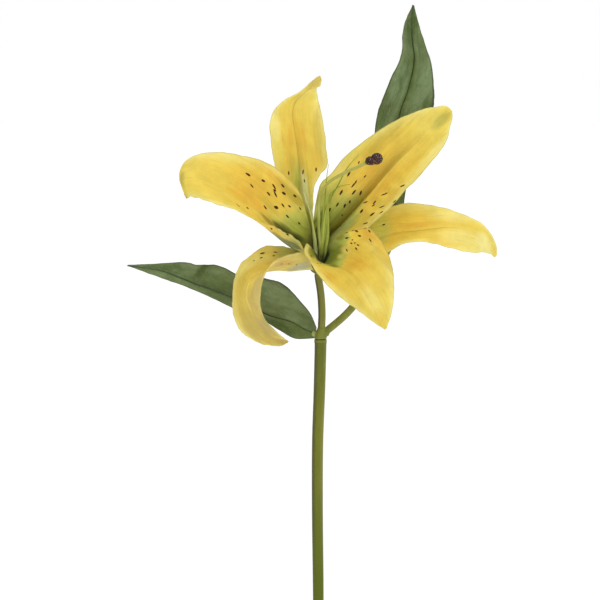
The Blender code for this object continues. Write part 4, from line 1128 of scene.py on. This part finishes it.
FILAMENTS = {
    "filament_1": (50.0, [
        (324.5, 238, -22), (326, 222, -28), (328.5, 206, -35), (333, 194, -41), (338.2, 185, -45),
        (344, 173.4, -49), (350.3, 164, -51.5), (358.9, 154.4, -54)]),
    "filament_2": (-10.0, [
        (327.3, 238, -23.5), (328, 222, -28.5), (328, 208, -35), (330, 195.5, -40), (338.5, 187, -45.5),
        (350.2, 184.2, -51)]),
    "filament_3": (110.0, [
        (321.6, 236, -22), (322.8, 220, -28), (324.3, 205, -34), (325.7, 190, -38.5), (326.6, 178, -41),
        (328.6, 164, -43)]),
    "filament_4": (170.0, [
        (314.3, 238, -23), (312.6, 222, -28), (311.4, 210, -32), (309.6, 197, -36.5), (304.8, 186.5, -41)]),
    "filament_5": (230.0, [
        (315, 240, -28), (313, 226, -31.5), (310.6, 214, -36), (307.3, 203, -40.5), (303.2, 192.2, -44)]),
    "filament_6": (290.0, [
        (322.8, 242, -29), (323.8, 228, -33), (325.2, 214, -37.5), (328, 204, -40.5), (332.5, 196.5, -43)]),
}


def add_stems():
    """Stem, branch, flower stalk, receptacle and collar."""
    olive = stem_material("stem_olive", (122, 126, 36), (98, 106, 26), 0.75, low_green=True)
    fresh = stem_material("stalk_green", (142, 146, 68), (116, 124, 46), 0.4)
    tan = stem_material("stalk_tan", (158, 154, 92), (128, 130, 64), 0.8)
    hole = (VASE_NECK_RADIUS - VASE_WALL) * math.cos(math.pi / NECK_SIDES)
    foot_height = VASE_WALL + GAP
    slope = (STEM_FOOT_RADIUS + NECK_CLEARANCE - hole - STEM_FOOT_Y) / (VASE_NECK_TOP - foot_height)
    route = run_out((0.0, STEM_FOOT_Y, foot_height), UP, 2.0)
    route += [(x, STEM_FOOT_Y + slope * (z - foot_height), z) for x, z in STEM_WAVE]
    route += run_out(COLLAR - UP * GAP, -UP, 1.3)[::-1]
    add_piece("moulded_stem", "stem", [olive], tube_mesh("stem", route, STEM_RADII, sides=32))

    start = COLLAR + UP * BRANCH_HEIGHT + BRANCH_DIRECTION * (BRANCH_SOCKET_REACH - BRANCH_SOCKET_DEPTH)
    route = run_out(start, BRANCH_DIRECTION) + [*(COLLAR + np.array(BRANCH_ROUTE))]
    mesh = tube_mesh("branch", route, BRANCH_RADII, sides=24, round_end=0.7)
    add_piece("moulded_branch", "leaf_branch", [fresh], mesh)

    end = FLOWER - FLOWER_UP * (RECEPTACLE_DEPTH + GAP)
    route = run_out(COLLAR + STALK_FOOT, UP) + [*(COLLAR + np.array(STALK_ROUTE))]
    route += run_out(end, -FLOWER_UP)[::-1]
    mesh = tube_mesh("stalk", route, STALK_RADII, sides=24)
    add_piece("moulded_stalk", "flower_stalk", [tan], mesh)

    mesh = turned_mesh("receptacle", RECEPTACLE, sides=48)
    add_piece("moulded_receptacle", "receptacle", [fresh], mesh)
    add_collar(stem_material("collar_green", (156, 160, 82), (122, 130, 52), 0.35, pale_left=True))


def add_collar(material):
    """Moulded collar that tapers into the stalk, with its two sockets grown into one form."""
    work = bmesh.new()
    work.from_mesh(tube_mesh("collar_body", COLLAR_ROUTE, COLLAR_RADII, sides=48))
    for knob, radius in COLLAR_KNOBS:
        bmesh.ops.create_icosphere(work, subdivisions=3, radius=radius * MM,
                                   matrix=Matrix.Translation(Vector(knob) * MM))
    for direction, foot, mouth, reach, height in COLLAR_SOCKETS:
        heading = Vector(direction)
        turn = Vector(UP).rotation_difference(heading).to_matrix().to_4x4()
        place = Matrix.Translation(Vector(UP) * height * MM + heading * reach * MM / 2) @ turn
        bmesh.ops.create_cone(work, cap_ends=True, segments=32, radius1=foot * MM, radius2=mouth * MM,
                              depth=reach * MM, matrix=place)
    mesh = bpy.data.meshes.new("collar")
    work.to_mesh(mesh)
    work.free()
    mesh.transform(Matrix.Translation(Vector(COLLAR * MM)))
    made = add_piece("moulded_collar", "stem_collar", [material], mesh)
    grown(made, COLLAR_VOXEL)
    relax = made.modifiers.new("relax", "SMOOTH")
    relax.factor = 0.6
    relax.iterations = 12


def add_pistil_and_filaments():
    """Ovary, style, stigma and the six bare filaments."""
    pale = stem_material("style_pale", (214, 220, 134), (176, 184, 92), 0.0, True, tip=(168, 166, 76))
    mint = stem_material("filament_mint", (222, 226, 156), (188, 196, 112), 0.0, True)
    green = stem_material("filament_green", (196, 206, 98), (156, 172, 70), 0.0, True, tip=(140, 150, 50))
    add_piece("pistil_ovary", "ovary", [pale], turned_mesh("ovary", OVARY, sides=32))

    lobe = FLOWER + STIGMA_LOBES[0][0]
    back = unit(FLOWER + STYLE_END - lobe)
    route = run_out(FLOWER + FLOWER_UP * (OVARY_TOP + GAP), FLOWER_UP)
    route += [from_pixel(*point) for point in STYLE_ROUTE]
    route += run_out(lobe + back * (STIGMA_LOBES[0][1] + GAP), back)[::-1]
    radii = [STYLE_RADIUS] * (len(route) - 2) + STYLE_TIP_RADII
    mesh = tube_mesh("style", route, radii, sides=20)
    add_piece("pistil_style", "style", [pale], mesh)

    for name, (azimuth, points) in FILAMENTS.items():
        foot = FLOWER + on_flower_axis(towards(azimuth) * FILAMENT_RING + UP * FILAMENT_FOOT)
        route = run_out(foot, FLOWER_UP, FILAMENT_STEP) + [from_pixel(*point) for point in points]
        radii = np.interp(np.linspace(0, 1, len(route)), FILAMENT_STATIONS, FILAMENT_RADII)
        mesh = tube_mesh(name, route, radii, sides=14, round_end=0.8)
        add_piece("strand_" + name, name, [mint if azimuth in PALE_FEET else green], mesh)
    add_stigma()


def add_stigma():
    """Two-lobed knob covered with small bumps."""
    work = bmesh.new()
    balls = [(Vector((FLOWER + centre) * MM), radius) for centre, radius in STIGMA_LOBES + [STIGMA_WAIST]]
    for centre, radius in balls:
        bmesh.ops.create_icosphere(work, subdivisions=5, radius=(radius + STIGMA_SWELL) * MM,
                                   matrix=Matrix.Translation(centre))
    lobes = [centre for centre, _ in balls[:2]]
    for vertex in work.verts:
        outward = (vertex.co - min(lobes, key=lambda centre: (vertex.co - centre).length)).normalized()
        nearest = noise.voronoi(vertex.co / MM * LUMP_DENSITY)[0][0]
        vertex.co += outward * (LUMP_LEVEL - nearest) * MM * LUMP_RISE
    mesh = bpy.data.meshes.new("stigma")
    work.to_mesh(mesh)
    work.free()
    mesh.shade_smooth()
    grown(add_piece("pistil_stigma", "stigma", [stigma_material()], mesh), STIGMA_VOXEL)


def add_vase():
    """Bottle vase with a rounded lip and an unglazed foot."""
    rail = [(index / (len(VASE_SIDE) - 1), point) for index, point in enumerate(VASE_SIDE)]
    side = along_rail(rail, np.linspace(0.0, 1.0, VASE_SIDE_STEPS))
    heading = unit(np.gradient(side, axis=0))
    hollow = side + np.stack([heading[:, 1], -heading[:, 0]], -1) * VASE_WALL
    hollow = [point for point in hollow if point[1] > VASE_WALL + VASE_FLOOR_EDGE[1]][::-1]
    floor = [(0.0, VASE_WALL), (hollow[0][0] - VASE_FLOOR_EDGE[0], VASE_WALL)]
    profile = [*floor, *hollow, *VASE_MOUTH, *side, *VASE_BASE]
    mesh = turned_mesh("vase", profile, sides=128, on_flower=False)
    add_piece("glazed_vase", "vase", [glaze_material()], mesh)


def add_stage():
    """Pale floor, soft lights, white surroundings and the camera."""
    bpy.ops.mesh.primitive_plane_add(size=FLOOR_SIZE)
    floor = bpy.context.object
    floor.name = "floor"
    look = Look("floor_white")
    place = look.node("TexCoord", {}, "Object")
    look.colour = look.mix(look.noise(place, 3.0), (250, 250, 250), (252, 252, 252))
    floor.data.materials.append(look.finish(0.9, Specular_IOR_Level=0.1, Emission_Strength=FLOOR_GLOW,
                                            Emission_Color=WHITE))

    sky = Look("studio", "worlds")
    seen = sky.tree.nodes["Background"]
    sky.put(seen.inputs[0], WHITE)
    soft = sky.node("Background", {0: WHITE, 1: SOFT_LIGHT})
    camera_ray = sky.node("LightPath", {}, "Is Camera Ray")
    choice = sky.node("MixShader", {0: camera_ray, 1: soft, 2: seen.outputs[0]})
    sky.put(sky.tree.nodes["World Output"].inputs[0], choice)
    scene = bpy.context.scene
    scene.world = sky.owner
    scene.view_settings.view_transform = "Standard"

    key = bpy.data.lights.new("key", "SUN")
    key.energy = KEY_LIGHT
    key.angle = KEY_SPREAD
    add_object("key", key).rotation_euler = Vector(KEY_FROM).to_track_quat("Z", "Y").to_euler()

    lens = bpy.data.cameras.new("camera")
    lens.sensor_width = SENSOR
    lens.lens = LENS
    lens.clip_end = CAMERA_REACH
    scene.camera = add_object("camera", lens)
    scene.camera.location = EYE * MM
    scene.camera.rotation_euler = (math.pi / 2 - CAMERA_DOWN, 0.0, 0.0)


add_stage()
add_tepals()
add_leaves()
add_stems()
add_pistil_and_filaments()
add_vase()
